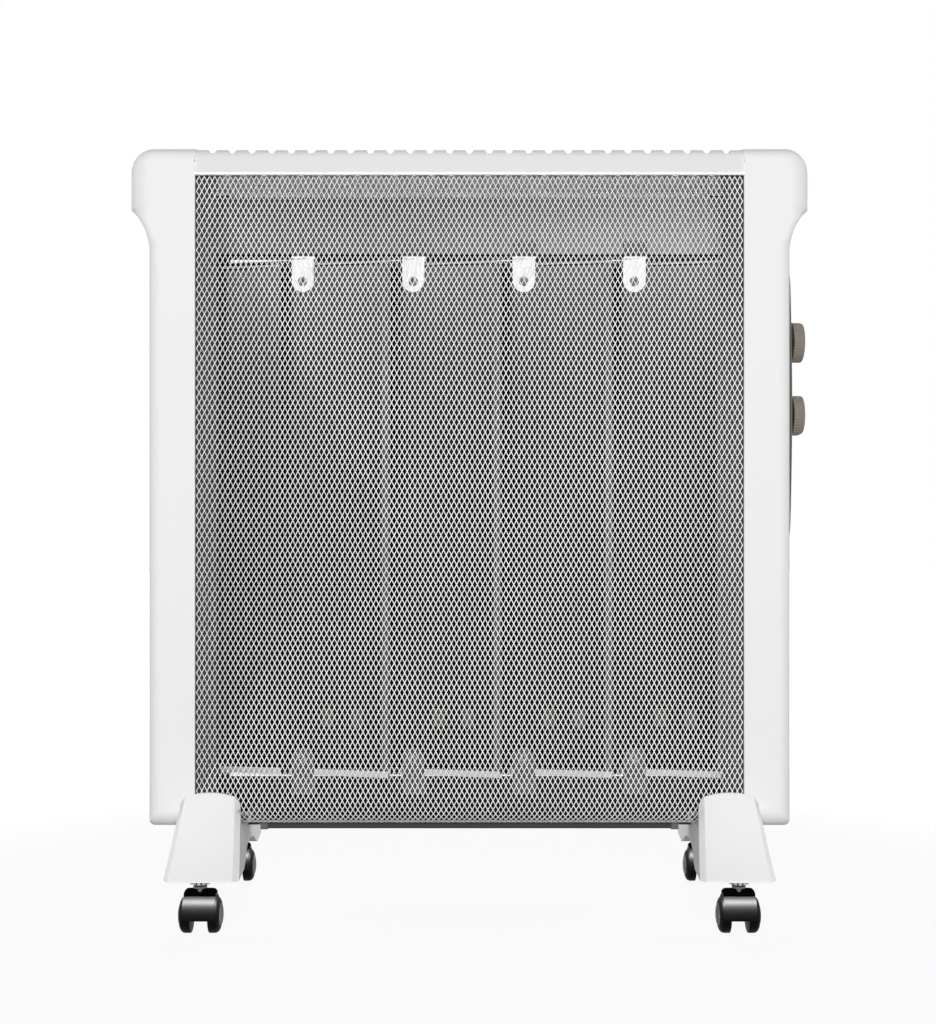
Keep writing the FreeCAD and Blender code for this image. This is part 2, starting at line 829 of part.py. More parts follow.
def cover_screws():
    screws = []
    for side in (-1, 1):
        for z in cover_screw_heights:
            screw = pan_screw(cover_screw_radius, cover_screw_length)
            screw.rotate(Vec(0, 0, 0), Vec(0, 0, 1), 180)
            screw.translate(Vec(side * cover_screw_x, cover_half_depth, z))
            screws.append(screw)
    return Part.makeCompound(screws)


def foot_screw_places():
    return [foot_x - foot_screw_spacing / 2, foot_x + foot_screw_spacing / 2]


def foot_side_outline():
    # The foot from the side: toes, lobes up the front and back of the body, and the arch.
    toe_z = foot_bottom_z + foot_toe_height
    lobe_y = foot_wall_y + foot_lobe_thickness
    mid_y = (foot_half_depth + lobe_y) / 2
    mid_z = (toe_z + foot_top_z) / 2
    run = math.hypot(foot_half_depth - lobe_y, foot_top_z - toe_z)
    bend_y = mid_y - foot_hollow * (foot_top_z - toe_z) / run
    bend_z = mid_z - foot_hollow * (foot_half_depth - lobe_y) / run
    r = cover_edge_round + foot_body_gap
    seat_z = cover_bottom_z
    x = -2 * foot_bottom_half_width

    def at(y, z):
        return Vec(x, y, z)

    return outline(at(-foot_half_depth, foot_bottom_z), [
        at(-foot_half_depth, toe_z),
        (at(-bend_y, bend_z), at(-lobe_y, foot_top_z)),
        at(-foot_wall_y, foot_top_z),
        at(-foot_wall_y, seat_z + r),
        (at(*corner_mid(-foot_wall_y + r, seat_z + r, r, 225)), at(-foot_wall_y + r, seat_z)),
        at(foot_wall_y - r, seat_z),
        (at(*corner_mid(foot_wall_y - r, seat_z + r, r, 315)), at(foot_wall_y, seat_z + r)),
        at(foot_wall_y, foot_top_z),
        at(lobe_y, foot_top_z),
        (at(bend_y, bend_z), at(foot_half_depth, toe_z)),
        at(foot_half_depth, foot_bottom_z),
        at(arch_half_length, foot_bottom_z),
        (at(0, arch_top_z), at(-arch_half_length, foot_bottom_z)),
    ])


def foot_half_width(front_half_width, y):
    # The foot narrows evenly from its front end to its rear end.
    return front_half_width - foot_rear_narrowing * (y + foot_half_depth) / (2 * foot_half_depth)


def foot_front_outline(y):
    # The foot from the front, at one depth: a taper with a rounded crown.
    low = foot_half_width(foot_bottom_half_width, y)
    high = foot_half_width(foot_top_half_width, y)
    crown = foot_half_width(foot_crown_half_width, y)
    shoulder_z = foot_top_z - foot_shoulder
    knee_x = (high + crown) / 2 + foot_shoulder / 5
    knee_z = foot_top_z - foot_shoulder / 3

    def at(x, z):
        return Vec(x, y, z)

    return outline(at(-low, foot_bottom_z), [
        at(-high, shoulder_z),
        (at(-knee_x, knee_z), at(-crown, foot_top_z)),
        at(crown, foot_top_z),
        (at(knee_x, knee_z), at(high, shoulder_z)),
        at(low, foot_bottom_z),
    ])


def foot_chamfer_cutter(flank, end):
    # A slanted slab that takes the corner off a toe along its flank and its end face.
    toe_z = foot_bottom_z + foot_toe_height
    lobe_y = foot_wall_y + foot_lobe_thickness
    c = foot_chamfer
    shoulder_z = foot_top_z - foot_shoulder

    def corner(z, y):
        low = foot_half_width(foot_bottom_half_width, end * y)
        high = foot_half_width(foot_top_half_width, end * y)
        x = low - (low - high) * (z - foot_bottom_z) / (shoulder_z - foot_bottom_z)
        face_y = y + 1e-3
        points = [(x - c, face_y), (x + c, face_y), (x + c, y - 2 * c), (x, y - c)]
        return [Vec(flank * a, end * b, z) for a, b in points]

    sections = [corner(foot_bottom_z - c, foot_half_depth), corner(toe_z, foot_half_depth),
                corner(foot_top_z, lobe_y)]
    pieces = []
    for lower, upper in zip(sections, sections[1:]):
        wires = [Part.makePolygon(s + s[:1]) for s in (lower, upper)]
        pieces.append(Part.makeLoft(wires, True, True))
    return pieces


def moulded_foot():
    # The right-hand foot, drawn about x = 0 and then taken to its place.
    side = prism(foot_side_outline(), Vec(4 * foot_bottom_half_width, 0, 0))
    end_y = foot_half_depth + foot_chamfer
    body = Part.makeLoft([foot_front_outline(-end_y), foot_front_outline(end_y)], True, True)
    foot = side.common(body)
    for flank in (-1, 1):
        for end in (-1, 1):
            for cutter in foot_chamfer_cutter(flank, end):
                foot = foot.cut(cutter)
    foot.translate(Vec(foot_x, 0, 0))
    for x in foot_screw_places():
        foot = foot.cut(rod_z(foot_bottom_z, cover_bottom_z, x, 0, foot_screw_radius + screw_hole_gap))
        foot = foot.cut(rod_z(foot_bottom_z, arch_top_z + foot_screw_sink, x, 0,
                              screw_head_radius + foot_counterbore_gap))
    for y in (-caster_y, caster_y):
        foot = foot.cut(rod_z(foot_bottom_z, foot_bottom_z + socket_sleeve_length, caster_x, y,
                              socket_sleeve_radius + socket_clearance))
    return foot


def foot_screws():
    screws = []
    head_z = arch_top_z + foot_screw_sink
    length = cover_bottom_z - head_z + foot_screw_tail
    for side in (-1, 1):
        for x in foot_screw_places():
            screw = pan_screw(foot_screw_radius, length)
            screw.rotate(Vec(0, 0, 0), Vec(1, 0, 0), 90)
            screw.translate(Vec(side * x, 0, head_z))
            screws.append(screw)
    return Part.makeCompound(screws)


def caster_places():
    return [("front_left", -caster_x, -caster_y), ("front_right", caster_x, -caster_y),
            ("rear_left", -caster_x, caster_y), ("rear_right", caster_x, caster_y)]


def caster_bush(x, y):
    # A flanged socket pressed into the foot, with notches round its flange.
    top_z = foot_bottom_z + socket_sleeve_length
    bush = rod_z(foot_bottom_z, top_z, x, y, socket_sleeve_radius)
    bush = bush.fuse(rod_z(socket_flange_z, foot_bottom_z, x, y, socket_flange_radius))
    for i in range(socket_notches):
        notch = block(socket_flange_radius - socket_notch_depth, 2 * socket_flange_radius,
                      -socket_notch_width / 2, socket_notch_width / 2,
                      socket_flange_z, foot_bottom_z)
        notch.rotate(Vec(0, 0, 0), Vec(0, 0, 1), 360.0 * i / socket_notches)
        notch.translate(Vec(x, y, 0))
        bush = bush.cut(notch)
    return bush.cut(rod_z(socket_flange_z, top_z, x, y, stem_radius + socket_clearance))


def caster_stem(x, y):
    low_z = hood_top_z - stem_root
    high_z = foot_bottom_z + socket_sleeve_length - stem_end_gap
    stem = rod_z(low_z, high_z, x, y, stem_radius)
    return stem.fuse(rod_z(hood_top_z, hood_top_z + collar_height, x, y, collar_radius))


def caster_hood(x, y):
    # A fender round the wheels, a web between them for the axle, and the stem's block.
    axle_y = y + caster_trail
    half = hood_width / 2
    web = wheel_gap / 2 - web_side_gap
    inner_r = wheel_radius + hood_wheel_gap
    fender = rod_x(x - half, x + half, axle_y, axle_z, hood_radius)
    stem_block = block(x - half, x + half, axle_y - hood_block_front, axle_y + hood_block_rear,
                       axle_z, hood_top_z)
    uprights = [e for e in stem_block.Edges if e.BoundBox.ZLength > hood_top_z - axle_z - 1e-3]
    stem_block = stem_block.makeFillet(wheel_edge_round, uprights)
    well = rod_x(x - 2 * half, x + 2 * half, axle_y, axle_z, inner_r)
    shell = fender.fuse(stem_block).cut(well)
    low_front = block(x - 2 * half, x + 2 * half, axle_y - 2 * hood_radius, axle_y, -hood_radius, hood_lip_z)
    low_rear = block(x - 2 * half, x + 2 * half, axle_y, axle_y + 2 * hood_radius, -hood_radius, hood_rear_z)
    shell = shell.cut(low_front).cut(low_rear)
    web_disc = rod_x(x - web, x + web, axle_y, axle_z, inner_r)
    web_disc = web_disc.cut(block(x - half, x + half, axle_y - 2 * hood_radius, axle_y + 2 * hood_radius,
                                  -hood_radius, axle_z + hub_radius / 2)).cut(low_rear)
    hub = rod_x(x - web, x + web, axle_y, axle_z, hub_radius)
    neck = block(x - web, x + web, axle_y - hub_radius, axle_y + hub_radius, axle_z, axle_z + hub_radius)
    hood = shell.fuse([web_disc, hub, neck])
    hood = hood.cut(rod_x(x - half, x + half, axle_y, axle_z, axle_radius + pin_gap))
    socket = rod_z(hood_top_z - stem_root, hood_top_z + stem_root, x, y, stem_radius + pin_gap)
    return hood.cut(socket).removeSplitter()


def caster_axle(x, y):
    reach = caster_width / 2 - axle_end_inset
    return rod_x(x - reach, x + reach, y + caster_trail, axle_z, axle_radius)


def caster_wheel(x, y, side):
    # A turned wheel with a flat tread and a domed cap on its outer side.
    inner = wheel_gap / 2
    outer = caster_width / 2
    bore = axle_radius + axle_clearance
    r = wheel_radius
    e = wheel_edge_round
    shoulder = inner + wheel_flat
    cap = outer - wheel_cap_bulge
    dome_x = (shoulder + cap) / 2 + wheel_edge_round
    dome_r = (r + wheel_cap_radius) / 2 + wheel_edge_round
    axle_y = y + caster_trail

    def at(a, b):
        return Vec(x + side * a, axle_y, axle_z + b)

    wire = outline(at(inner, bore), [
        at(inner, r - e),
        at(inner + e, r),
        at(shoulder, r),
        (at(dome_x, dome_r), at(cap, wheel_cap_radius)),
        at(outer, wheel_cap_radius - wheel_cap_bulge),
        at(outer, bore),
    ])
    return Part.Face(wire).revolve(at(0, 0), Vec(1, 0, 0), 360)


shell_right = side_cover()
plate_right = end_plate()
panel_front = mesh_panel()
foot_right = moulded_foot()

save("right_side_cover", right_cover(shell_right))
save("left_side_cover", flip_x(shell_right))
save("top_grille", top_grille())
save("front_mesh_panel", panel_front)
save("rear_mesh_panel", flip_y(panel_front))
save("bottom_tray", bottom_tray())
save("right_end_plate", plate_right)
save("left_end_plate", flip_x(plate_right))
save("upper_rail", upper_rail())
save("lower_rail", lower_rail())

for number in range(element_count):
    save("mica_board_%d" % (number + 1), on_element(mica_board(), number))
    save("element_frame_%d" % (number + 1), on_element(element_frame(), number))
clips = [element_clip(i, upper) for i in range(element_count) for upper in (True, False)]
save("element_clips", Part.makeCompound(clips))
save("clip_screws", clip_screws())
save("element_terminals", element_terminals())

save("control_fascia", control_fascia())
save("pilot_lamp", pilot_lamp())
save("control_nuts", control_nuts())
for control, height, pointing in (("thermostat", thermostat_z, 1), ("selector", selector_z, -1)):
    save(control + "_body", control_body(height))
    save(control + "_shaft", control_shaft(height))
    save(control + "_knob", control_knob(height, pointing))
save("thermal_cutout", thermal_cutout())
save("tip_over_switch", tip_over_switch())
save("terminal_block", terminal_block())
save("internal_wiring", internal_wiring())
save("cord_gland", cord_gland())
save("cover_screws", cover_screws())

save("right_foot", foot_right)
save("left_foot", flip_x(foot_right))
save("foot_screws", foot_screws())
bushes = [caster_bush(x, y) for name, x, y in caster_places()]
save("caster_bushes", Part.makeCompound(bushes))
for name, x, y in caster_places():
    save(name + "_caster_stem", caster_stem(x, y))
    save(name + "_caster_hood", caster_hood(x, y))
    save(name + "_caster_axle", caster_axle(x, y))
    save(name + "_caster_wheel_left", caster_wheel(x, y, -1))
    save(name + "_caster_wheel_right", caster_wheel(x, y, 1))
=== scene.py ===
import bpy
import bmesh
import json
import math
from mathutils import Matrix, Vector


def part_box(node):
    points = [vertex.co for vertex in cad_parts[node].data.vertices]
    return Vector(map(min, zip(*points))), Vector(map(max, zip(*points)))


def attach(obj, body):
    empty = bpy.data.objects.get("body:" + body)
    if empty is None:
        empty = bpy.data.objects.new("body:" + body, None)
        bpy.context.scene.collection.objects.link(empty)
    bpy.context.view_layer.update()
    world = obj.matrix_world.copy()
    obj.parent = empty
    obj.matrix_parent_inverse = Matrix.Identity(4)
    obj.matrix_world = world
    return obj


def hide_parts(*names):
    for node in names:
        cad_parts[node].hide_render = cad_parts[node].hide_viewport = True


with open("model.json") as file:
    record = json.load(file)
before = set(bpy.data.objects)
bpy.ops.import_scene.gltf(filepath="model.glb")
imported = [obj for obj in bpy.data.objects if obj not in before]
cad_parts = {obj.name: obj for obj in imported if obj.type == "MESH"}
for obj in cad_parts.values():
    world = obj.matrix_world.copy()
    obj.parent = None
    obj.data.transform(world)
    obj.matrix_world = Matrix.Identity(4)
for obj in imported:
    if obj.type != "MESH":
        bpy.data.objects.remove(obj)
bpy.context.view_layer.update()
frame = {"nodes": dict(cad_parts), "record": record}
print("frame loaded,", len(frame["nodes"]), "nodes")


# Shader maths as plain expressions
class Wire:
    def __init__(self, tree, socket=None):
        self.tree = tree
        self.socket = socket

    def node(self, kind, inputs=None, settings=None, output=0):
        made = self.tree.nodes.new(kind)
        for name, value in (settings or {}).items():
            setattr(made, name, value)
        for key, value in (inputs or {}).items():
            if isinstance(value, Wire):
                self.tree.links.new(value.socket, made.inputs[key])
            else:
                made.inputs[key].default_value = value
        return Wire(self.tree, made.outputs[output])

    def math(self, operation, first, second=0.0):
        return self.node("ShaderNodeMath", {0: first, 1: second}, {"operation": operation})

    def __add__(self, other):
        return self.math("ADD", self, other)

    def __radd__(self, other):
        return self.math("ADD", other, self)

    def __sub__(self, other):
        return self.math("SUBTRACT", self, other)

    def __rsub__(self, other):
        return self.math("SUBTRACT", other, self)

    def __mul__(self, other):
        return self.math("MULTIPLY", self, other)

    def __truediv__(self, other):
        return self.math("DIVIDE", self, other)

    def ramp(self, low, high):       # 0 below low, 1 above high, smooth between
        limits = {"Value": self, "From Min": low, "From Max": high}
        return self.node("ShaderNodeMapRange", limits, {"interpolation_type": "SMOOTHSTEP"})

    def paint(self, dark, light):    # a colour between two, by this value
        return self.node("ShaderNodeMix", {0: self, 6: dark, 7: light}, {"data_type": "RGBA"}, 2)


def rgb(red, green=None, blue=None):
    return (red, red if green is None else green, red if blue is None else blue, 1.0)


class Finish:
    # One material: its object coordinates, its shader and the links between them
    def __init__(self, name, **constants):
        self.material = bpy.data.materials.new(name)
        self.material.use_nodes = True
        self.tree = self.material.node_tree
        self.shader = self.tree.nodes["Principled BSDF"]
        for socket, value in constants.items():
            self.shader.inputs[socket.replace("_", " ")].default_value = value
        self.wire = Wire(self.tree)
        self.place = self.wire.node("ShaderNodeTexCoord", output=3)

    def axis(self, letter):
        return self.wire.node("ShaderNodeSeparateXYZ", {0: self.place}, output="XYZ".index(letter))

    def noise(self, scale, detail=3.0, roughness=0.5, stretch=None):
        place = self.place
        if stretch:
            place = self.wire.node("ShaderNodeMapping", {"Vector": place, "Scale": stretch})
        inputs = {"Vector": place, "Scale": scale, "Detail": detail, "Roughness": roughness}
        return self.wire.node("ShaderNodeTexNoise", inputs)

    def cells(self, scale, output=0):
        inputs = {"Vector": self.place, "Scale": scale}
        return self.wire.node("ShaderNodeTexVoronoi", inputs, output=output)

    def set(self, socket, value):
        self.tree.links.new(value.socket, self.shader.inputs[socket])

    def bump(self, height, distance, strength=1.0):
        inputs = {"Strength": strength, "Distance": distance, "Height": height}
        self.set("Normal", self.wire.node("ShaderNodeBump", inputs))


# Finishes
def mottled(name, grain, dark, light, roughness, relief=None, **constants):
    # one noise drives the colour, the roughness and, where there is any, the relief
    finish = Finish(name, **constants)
    drift = finish.noise(*grain)
    finish.set("Base Color", drift.paint(dark, light))
    finish.set("Roughness", roughness[0] + drift * roughness[1])
    if relief:
        finish.bump(drift, *relief)
    return finish.material


def turnedSteel(name, tone):
    rings = (900.0, 2.0, 0.5, (1.0, 0.05, 0.05))
    return mottled(name, rings, rgb(tone * 0.85), rgb(tone), (0.2, 0.2), (0.00003, 0.4), Metallic=1.0)


def casterPlastic(name, shine):
    return mottled(name, (200.0, 2.0), rgb(0.001), rgb(0.003), (0.43, 0.06), Specular_IOR_Level=shine)


def mouldedWhite(name, tone):
    finish = Finish(name, Specular_IOR_Level=0.15)
    cloud = finish.noise(9.0, 2.0)
    grain = finish.noise(2600.0, 2.0)
    finish.set("Base Color", cloud.paint(rgb(tone * 0.985), rgb(tone * 1.01)))
    finish.set("Roughness", 0.44 + cloud * 0.06 + grain * 0.05)
    finish.bump(grain, 0.00003, 0.35)
    return finish.material


def grilleWhite(beadTop):
    finish = Finish("grilleWhite", Specular_IOR_Level=0.15)
    height = finish.axis("Z")
    bead = 1.0 - height.ramp(beadTop - 0.0004, beadTop + 0.0002)     # painted highlight: the bead is drawn paler than the trim, as if it caught the light
    grain = finish.noise(2600.0, 2.0)
    cloud = finish.noise(12.0, 2.0)
    tone = cloud * 0.02 + bead
    finish.set("Base Color", tone.paint(rgb(0.735), rgb(0.94)))
    finish.set("Roughness", 0.4 + grain * 0.06)
    finish.bump(grain, 0.00003, 0.35)
    return finish.material


def powderWhite(name, tone):
    finish = Finish(name, Specular_IOR_Level=0.2)
    peel = finish.noise(1400.0, 2.0)
    drift = finish.noise(6.0, 2.0)
    finish.set("Base Color", drift.paint(rgb(tone * 0.97), rgb(tone)))
    finish.set("Roughness", 0.42 + peel * 0.12)
    finish.bump(peel, 0.00004, 0.4)
    return finish.material


def paintedGrey(tabStart, tabEnd):               # the tabs at both ends are paler
    finish = Finish("paintedGrey", Specular_IOR_Level=0.15)
    soft = 0.0006
    peel = finish.noise(900.0, 3.0)
    drift = finish.noise(14.0, 3.0)
    reach = finish.wire.math("ABSOLUTE", finish.axis("X"))
    tab = reach.ramp(tabStart, tabStart + soft) - reach.ramp(tabEnd, tabEnd + soft) * 1.3
    finish.set("Base Color", (drift * 0.2 + tab).paint(rgb(0.04), rgb(0.13)))
    finish.set("Roughness", 0.5 + peel * 0.15)
    finish.bump(peel, 0.00005, 0.5)
    return finish.material


def taupeGloss():
    finish = Finish("taupeGloss", Coat_Weight=0.25, Coat_Roughness=0.12)
    drift = finish.noise(18.0, 2.0)
    grain = finish.noise(1800.0, 2.0)
    finish.set("Base Color", drift.paint(rgb(0.066, 0.051, 0.039), rgb(0.082, 0.064, 0.05)))
    finish.set("Roughness", 0.3 + grain * 0.1)
    finish.bump(grain, 0.00002, 0.3)
    return finish.material


knobLine = {                  # the pointer line on the face of a control knob
    "near": 0.005,
    "far": 0.0128,
    "half": 0.0007,
    "soft": 0.0002,
}


def taupeKnob(lines):         # lines: the lower and upper end of each pointer line
    finish = Finish("taupeKnob", Specular_IOR_Level=0.4)
    drift = finish.noise(60.0, 3.0)
    grain = finish.noise(2200.0, 2.0)
    plain = drift.paint(rgb(0.205, 0.178, 0.147), rgb(0.235, 0.205, 0.172))
    height = finish.axis("Z")
    soft = knobLine["soft"]
    length = 0.0
    for low, high in lines:
        length = height.ramp(low, low + soft) * (1.0 - height.ramp(high - soft, high)) + length
    aside = finish.wire.math("ABSOLUTE", finish.axis("Y"))
    pointer = length * (1.0 - aside.ramp(knobLine["half"], knobLine["half"] + soft))
    finish.set("Base Color", pointer.paint(plain, rgb(0.62, 0.59, 0.54)))
    finish.set("Roughness", 0.42 + grain * 0.12)
    finish.bump(grain, 0.00003, 0.4)
    return finish.material


def amberLens():
    finish = Finish("amberLens", Transmission_Weight=0.35, IOR=1.49, Coat_Weight=0.6)
    facets = finish.cells(900.0)
    finish.set("Base Color", facets.paint(rgb(0.62, 0.16, 0.03), rgb(0.75, 0.24, 0.05)))
    finish.set("Roughness", 0.12 + facets * 0.15)
    finish.bump(facets, 0.0001, 0.5)
    return finish.material


def galvanised(name, tone, steps=(), fade=0.0, drop=0.0):   # steps: (height, the tone above it)
    finish = Finish(name, Metallic=0.2, Specular_IOR_Level=0.15)
    soft = 0.0008
    spangle = finish.cells(110.0, output=1)
    flake = finish.wire.node("ShaderNodeSeparateColor", {0: spangle})
    drift = finish.noise(25.0, 3.0)
    height = finish.axis("Z")
    shade = height * 0.0 + tone
    for level, above in steps:
        shade = shade + height.ramp(level - soft, level + soft) * (above - tone)
        tone = above
    shade = shade * (1.0 - height.ramp(0.56, 0.62) * fade)                     # painted shade: darker up under the trim
    shade = shade * (1.0 - drop + finish.axis("X").ramp(-0.12, 0.2) * drop)    # painted shade: darker towards the left
    finish.set("Base Color", shade * (0.85 + flake * 0.075 + drift * 0.075))
    finish.set("Roughness", 0.5 + flake * 0.18)
    finish.bump(drift, 0.0002, 0.2)
    return finish.material


def elementShare(finish):     # 0 just right of an element's front edge, rising to 1 at the next one
    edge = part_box("element_frame_1")[1].x
    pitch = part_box("element_frame_2")[1].x - edge
    return finish.wire.math("FRACT", (finish.axis("X") - edge) / pitch)


def micaSheet(low, high):
    finish = Finish("micaSheet", Specular_IOR_Level=0.06)
    rise = (finish.axis("Z") - low) / (high - low)
    share = elementShare(finish)
    lit = share.ramp(0.07, 0.15)                 # the strip behind the next element is in shade
    fleck = finish.cells(420.0)
    layers = finish.noise(40.0, 4.0, 0.6, (1.0, 1.0, 0.35))
    # the flecks are smoother; their paler colour is a painted glint
    glint = 1.0 - fleck.ramp(0.05, 0.22)
    # painted light: the sheet is drawn paler towards the top, where the light falls, and its layers show
    # most there
    paintedTopLight = finish.wire.math("POWER", rise, 8.0)
    tone = lit * (paintedTopLight * 0.8 + rise * layers * 0.05 + glint * 0.04)
    finish.set("Base Color", tone.paint(rgb(0.006), rgb(0.2)))
    finish.set("Roughness", 0.75 - glint * 0.2)
    finish.bump(layers, 0.0003, 0.35)
    return finish.material


def pressedEdge(low, high):
    finish = Finish("pressedEdge", Metallic=0.2, Specular_IOR_Level=0.1)
    height = finish.axis("Z")
    share = elementShare(finish)
    foot = 1.0 - height.ramp(low + 0.0050, low + 0.0058)             # painted highlight: a bright lower strip, a light streak along the lower flange
    # painted highlight: a bright line just under the top edge
    head = height.ramp(high - 0.0048, high - 0.0043) - height.ramp(high - 0.0030, high - 0.0026)
    side = share.ramp(0.925, 0.935) * 0.10       # painted highlight along the upright rim at the front edge
    brushed = finish.noise(500.0, 3.0, 0.5, (1.0, 1.0, 0.08))
    # painted shade: the strip behind the next element is dark
    lit = share.ramp(0.07, 0.12)
    tone = lit * (foot * 0.75 + head * 0.45 + side) + brushed * 0.03
    finish.set("Base Color", tone.paint(rgb(0.01), rgb(0.9)))
    finish.set("Roughness", 0.45 + brushed * 0.2)
    finish.bump(brushed, 0.00005, 0.3)
    return finish.material


elementTilt = 13.0            # degrees


def clipScrew(recess):        # the cross recess is painted dark, as shade; the head lies square to its tilted element
    finish = Finish("clipScrew", Metallic=0.4, Specular_IOR_Level=0.2)
    low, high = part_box("element_frame_1")
    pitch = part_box("element_frame_2")[0].x - low.x
    middle = (low.x + high.x) / 2
    share = finish.wire.math("FRACT", (finish.axis("X") - middle) / pitch + 0.5)
    tilt = math.radians(elementTilt)
    depth = (share - 0.5) * (pitch * math.sin(tilt)) + finish.axis("Y") * math.cos(tilt)
    cloud = finish.noise(300.0, 3.0)
    finish.set("Base Color", depth.ramp(recess - 0.0003, recess + 0.0002).paint(rgb(0.3), rgb(0.01)))
    finish.set("Roughness", 0.35 + cloud * 0.2)
    return finish.material


def braidedJacket():
    finish = Finish("braidedJacket")
    inputs = {"Vector": finish.place, "Scale": 260.0, "Distortion": 1.5}
    across = finish.wire.node("ShaderNodeTexWave", inputs, {"bands_direction": "DIAGONAL"}, 1)
    finish.set("Base Color", across.paint(rgb(0.42, 0.4, 0.36), rgb(0.6, 0.58, 0.54)))
    finish.set("Roughness", 0.7 + across * 0.15)
    finish.bump(across, 0.0002, 0.5)
    return finish.material


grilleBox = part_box("top_grille")
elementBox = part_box("element_frame_1")
beadHeight = 0.0025
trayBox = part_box("bottom_tray")
trayTab = 0.0065
railShadeLine = 0.5628             # the upper rail is bright above this height and painted dark below it, as shade
clipSteps = [(0.5, 0.95), (0.5597, 0.03), (0.5625, 0.1)]     # upper clips are bright up to their bend; above it they are painted dark, as shade under the rail
screwRecess = -0.0052
knobPointers = []
for control, side in (("thermostat", 1), ("selector", -1)):
    low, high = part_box(control + "_knob")
    middle = (low.z + high.z) / 2
    knobPointers.append(sorted((middle + side * knobLine["near"], middle + side * knobLine["far"])))
finishes = {
    "cover_white": mouldedWhite("coverWhite", 0.84),
    "grille_white": grilleWhite(grilleBox[0].z + beadHeight),
    # the foot's white is paler than the cover's, painted light that makes up for the foot's duller lighting
    "foot_white": mouldedWhite("footWhite", 0.96),
    "mesh_paint": powderWhite("powderWhite", 0.95),
    "tray_paint": paintedGrey(trayBox[1].x - trayTab, trayBox[1].x),
    "fascia_taupe": taupeGloss(),
    "knob_taupe": taupeKnob(knobPointers),
    "lamp_lens": amberLens(),
    # painted shade: the rails are drawn near black where they lie in shade, the lower rail and the upper
    # rail's lower flange
    "galvanised_sheet": galvanised("galvanised", 0.02, [(railShadeLine, 0.4)], 0.5, 0.6),
    "mica_board": micaSheet(elementBox[0].z, elementBox[1].z),
    "element_sheath": pressedEdge(elementBox[0].z, elementBox[1].z),
    "terminal_brass": mottled("platedTab", (160.0, 3.0), rgb(0.05, 0.048, 0.044), rgb(0.1, 0.095, 0.085),
                              (0.5, 0.2), Metallic=0.3, Specular_IOR_Level=0.1),
    "zinc_fastener": mottled("zincPlate", (300.0, 3.0), rgb(0.62, 0.63, 0.65), rgb(0.78), (0.25, 0.2),
                             Metallic=0.9),
    "control_housing": mottled("phenolic", (700.0, 4.0, 0.7), rgb(0.025), rgb(0.06, 0.055, 0.05), (0.4, 0.2),
                               (0.00005, 0.3), Specular_IOR_Level=0.4),
    "cutout_case": mottled("steatite", (800.0, 3.0), rgb(0.66, 0.63, 0.57), rgb(0.78, 0.76, 0.71),
                           (0.5, 0.2)),
    "shaft_steel": turnedSteel("turnedSteel", 0.6),
    "wire_jacket": braidedJacket(),
    "gland_rubber": mottled("rubberBlack", (1500.0, 3.0), rgb(0.018), rgb(0.035), (0.6, 0.2), (0.00005, 0.5),
                            Specular_IOR_Level=0.3),
    "bush_nylon": mottled("nylonBush", (300.0, 2.0), rgb(0.7), rgb(0.8), (0.4, 0.15),
                          Specular_IOR_Level=0.4),
    "caster_black": casterPlastic("casterGloss", 0.04),
    "caster_steel": turnedSteel("platedSteel", 0.16),
}
nodeSlots = {row["node"]: row["material_slot"] for row in frame["record"]["subparts"]}
for nodeName, node in frame["nodes"].items():
    node.data.materials.clear()
    node.data.materials.append(finishes[nodeSlots[nodeName]])
frame["nodes"]["element_clips"].data.materials[0] = galvanised("brightClip", 0.08, clipSteps, 0.5)
frame["nodes"]["clip_screws"].data.materials[0] = clipScrew(screwRecess)
# painted shade: the end plates are drawn near black, as they lie in shade inside the body
plateFinish = galvanised("shadedPlate", 0.05)
for nodeName in ("left_end_plate", "right_end_plate"):
    frame["nodes"][nodeName].data.materials[0] = plateFinish
print("finishes set,", len(finishes), "materials")


# Modelling helpers
tiny = 1e-6                   # metres; closer points are one
creaseAngle = 30.0            # degrees; edges that turn more are crisp


def only(kind, geom):         # the members of a mesh result that are of one kind
    return [g for g in geom if isinstance(g, kind)]


def arc(centre, radius, start, end, steps):     # points in a plane, angles in degrees
    points = []
    for i in range(steps + 1):
        angle = math.radians(start + (end - start) * i / steps)
        points.append((centre[0] + radius * math.cos(angle), centre[1] + radius * math.sin(angle)))
    return points


def slab(bm, points, plane, low, high):         # a flat outline pulled straight along its normal
    depth = high - low
    spots = {
        "XZ": lambda a, b: (a, low, b),
        "YZ": lambda a, b: (low, a, b),
        "XY": lambda a, b: (a, b, low),
    }
    along = {"XZ": (0, depth, 0), "YZ": (depth, 0, 0), "XY": (0, 0, depth)}
    face = bm.faces.new([bm.verts.new(spots[plane](a, b)) for a, b in points])
    pulled = bmesh.ops.extrude_face_region(bm, geom=[face])["geom"]
    bmesh.ops.translate(bm, verts=only(bmesh.types.BMVert, pulled), vec=along[plane])
    bmesh.ops.recalc_face_normals(bm, faces=bm.faces)


def rounded(bm, edges, offset, segments):
    bmesh.ops.bevel(bm, geom=edges, offset=offset, affect="EDGES", segments=segments, profile=0.5,
                    material=-1, clamp_overlap=True)


def slices(bm, axis, places):                   # cuts through everything, square to an axis
    normal = Vector([1.0 if i == axis else 0.0 for i in range(3)])
    for place in places:
        bmesh.ops.bisect_plane(bm, geom=bm.verts[:] + bm.edges[:] + bm.faces[:], plane_co=normal * place,
                               plane_no=normal)


def trim(bm, axis, place, side):                # drops what lies past a plane
    normal = Vector([side if i == axis else 0.0 for i in range(3)])
    bmesh.ops.bisect_plane(bm, geom=bm.verts[:] + bm.edges[:] + bm.faces[:], plane_co=normal * place * side,
                           plane_no=normal, clear_outer=True)


def flip(bm, axis):
    size = Vector([-1.0 if i == axis else 1.0 for i in range(3)])
    bmesh.ops.scale(bm, vec=size, verts=bm.verts)
    bmesh.ops.reverse_faces(bm, faces=bm.faces)


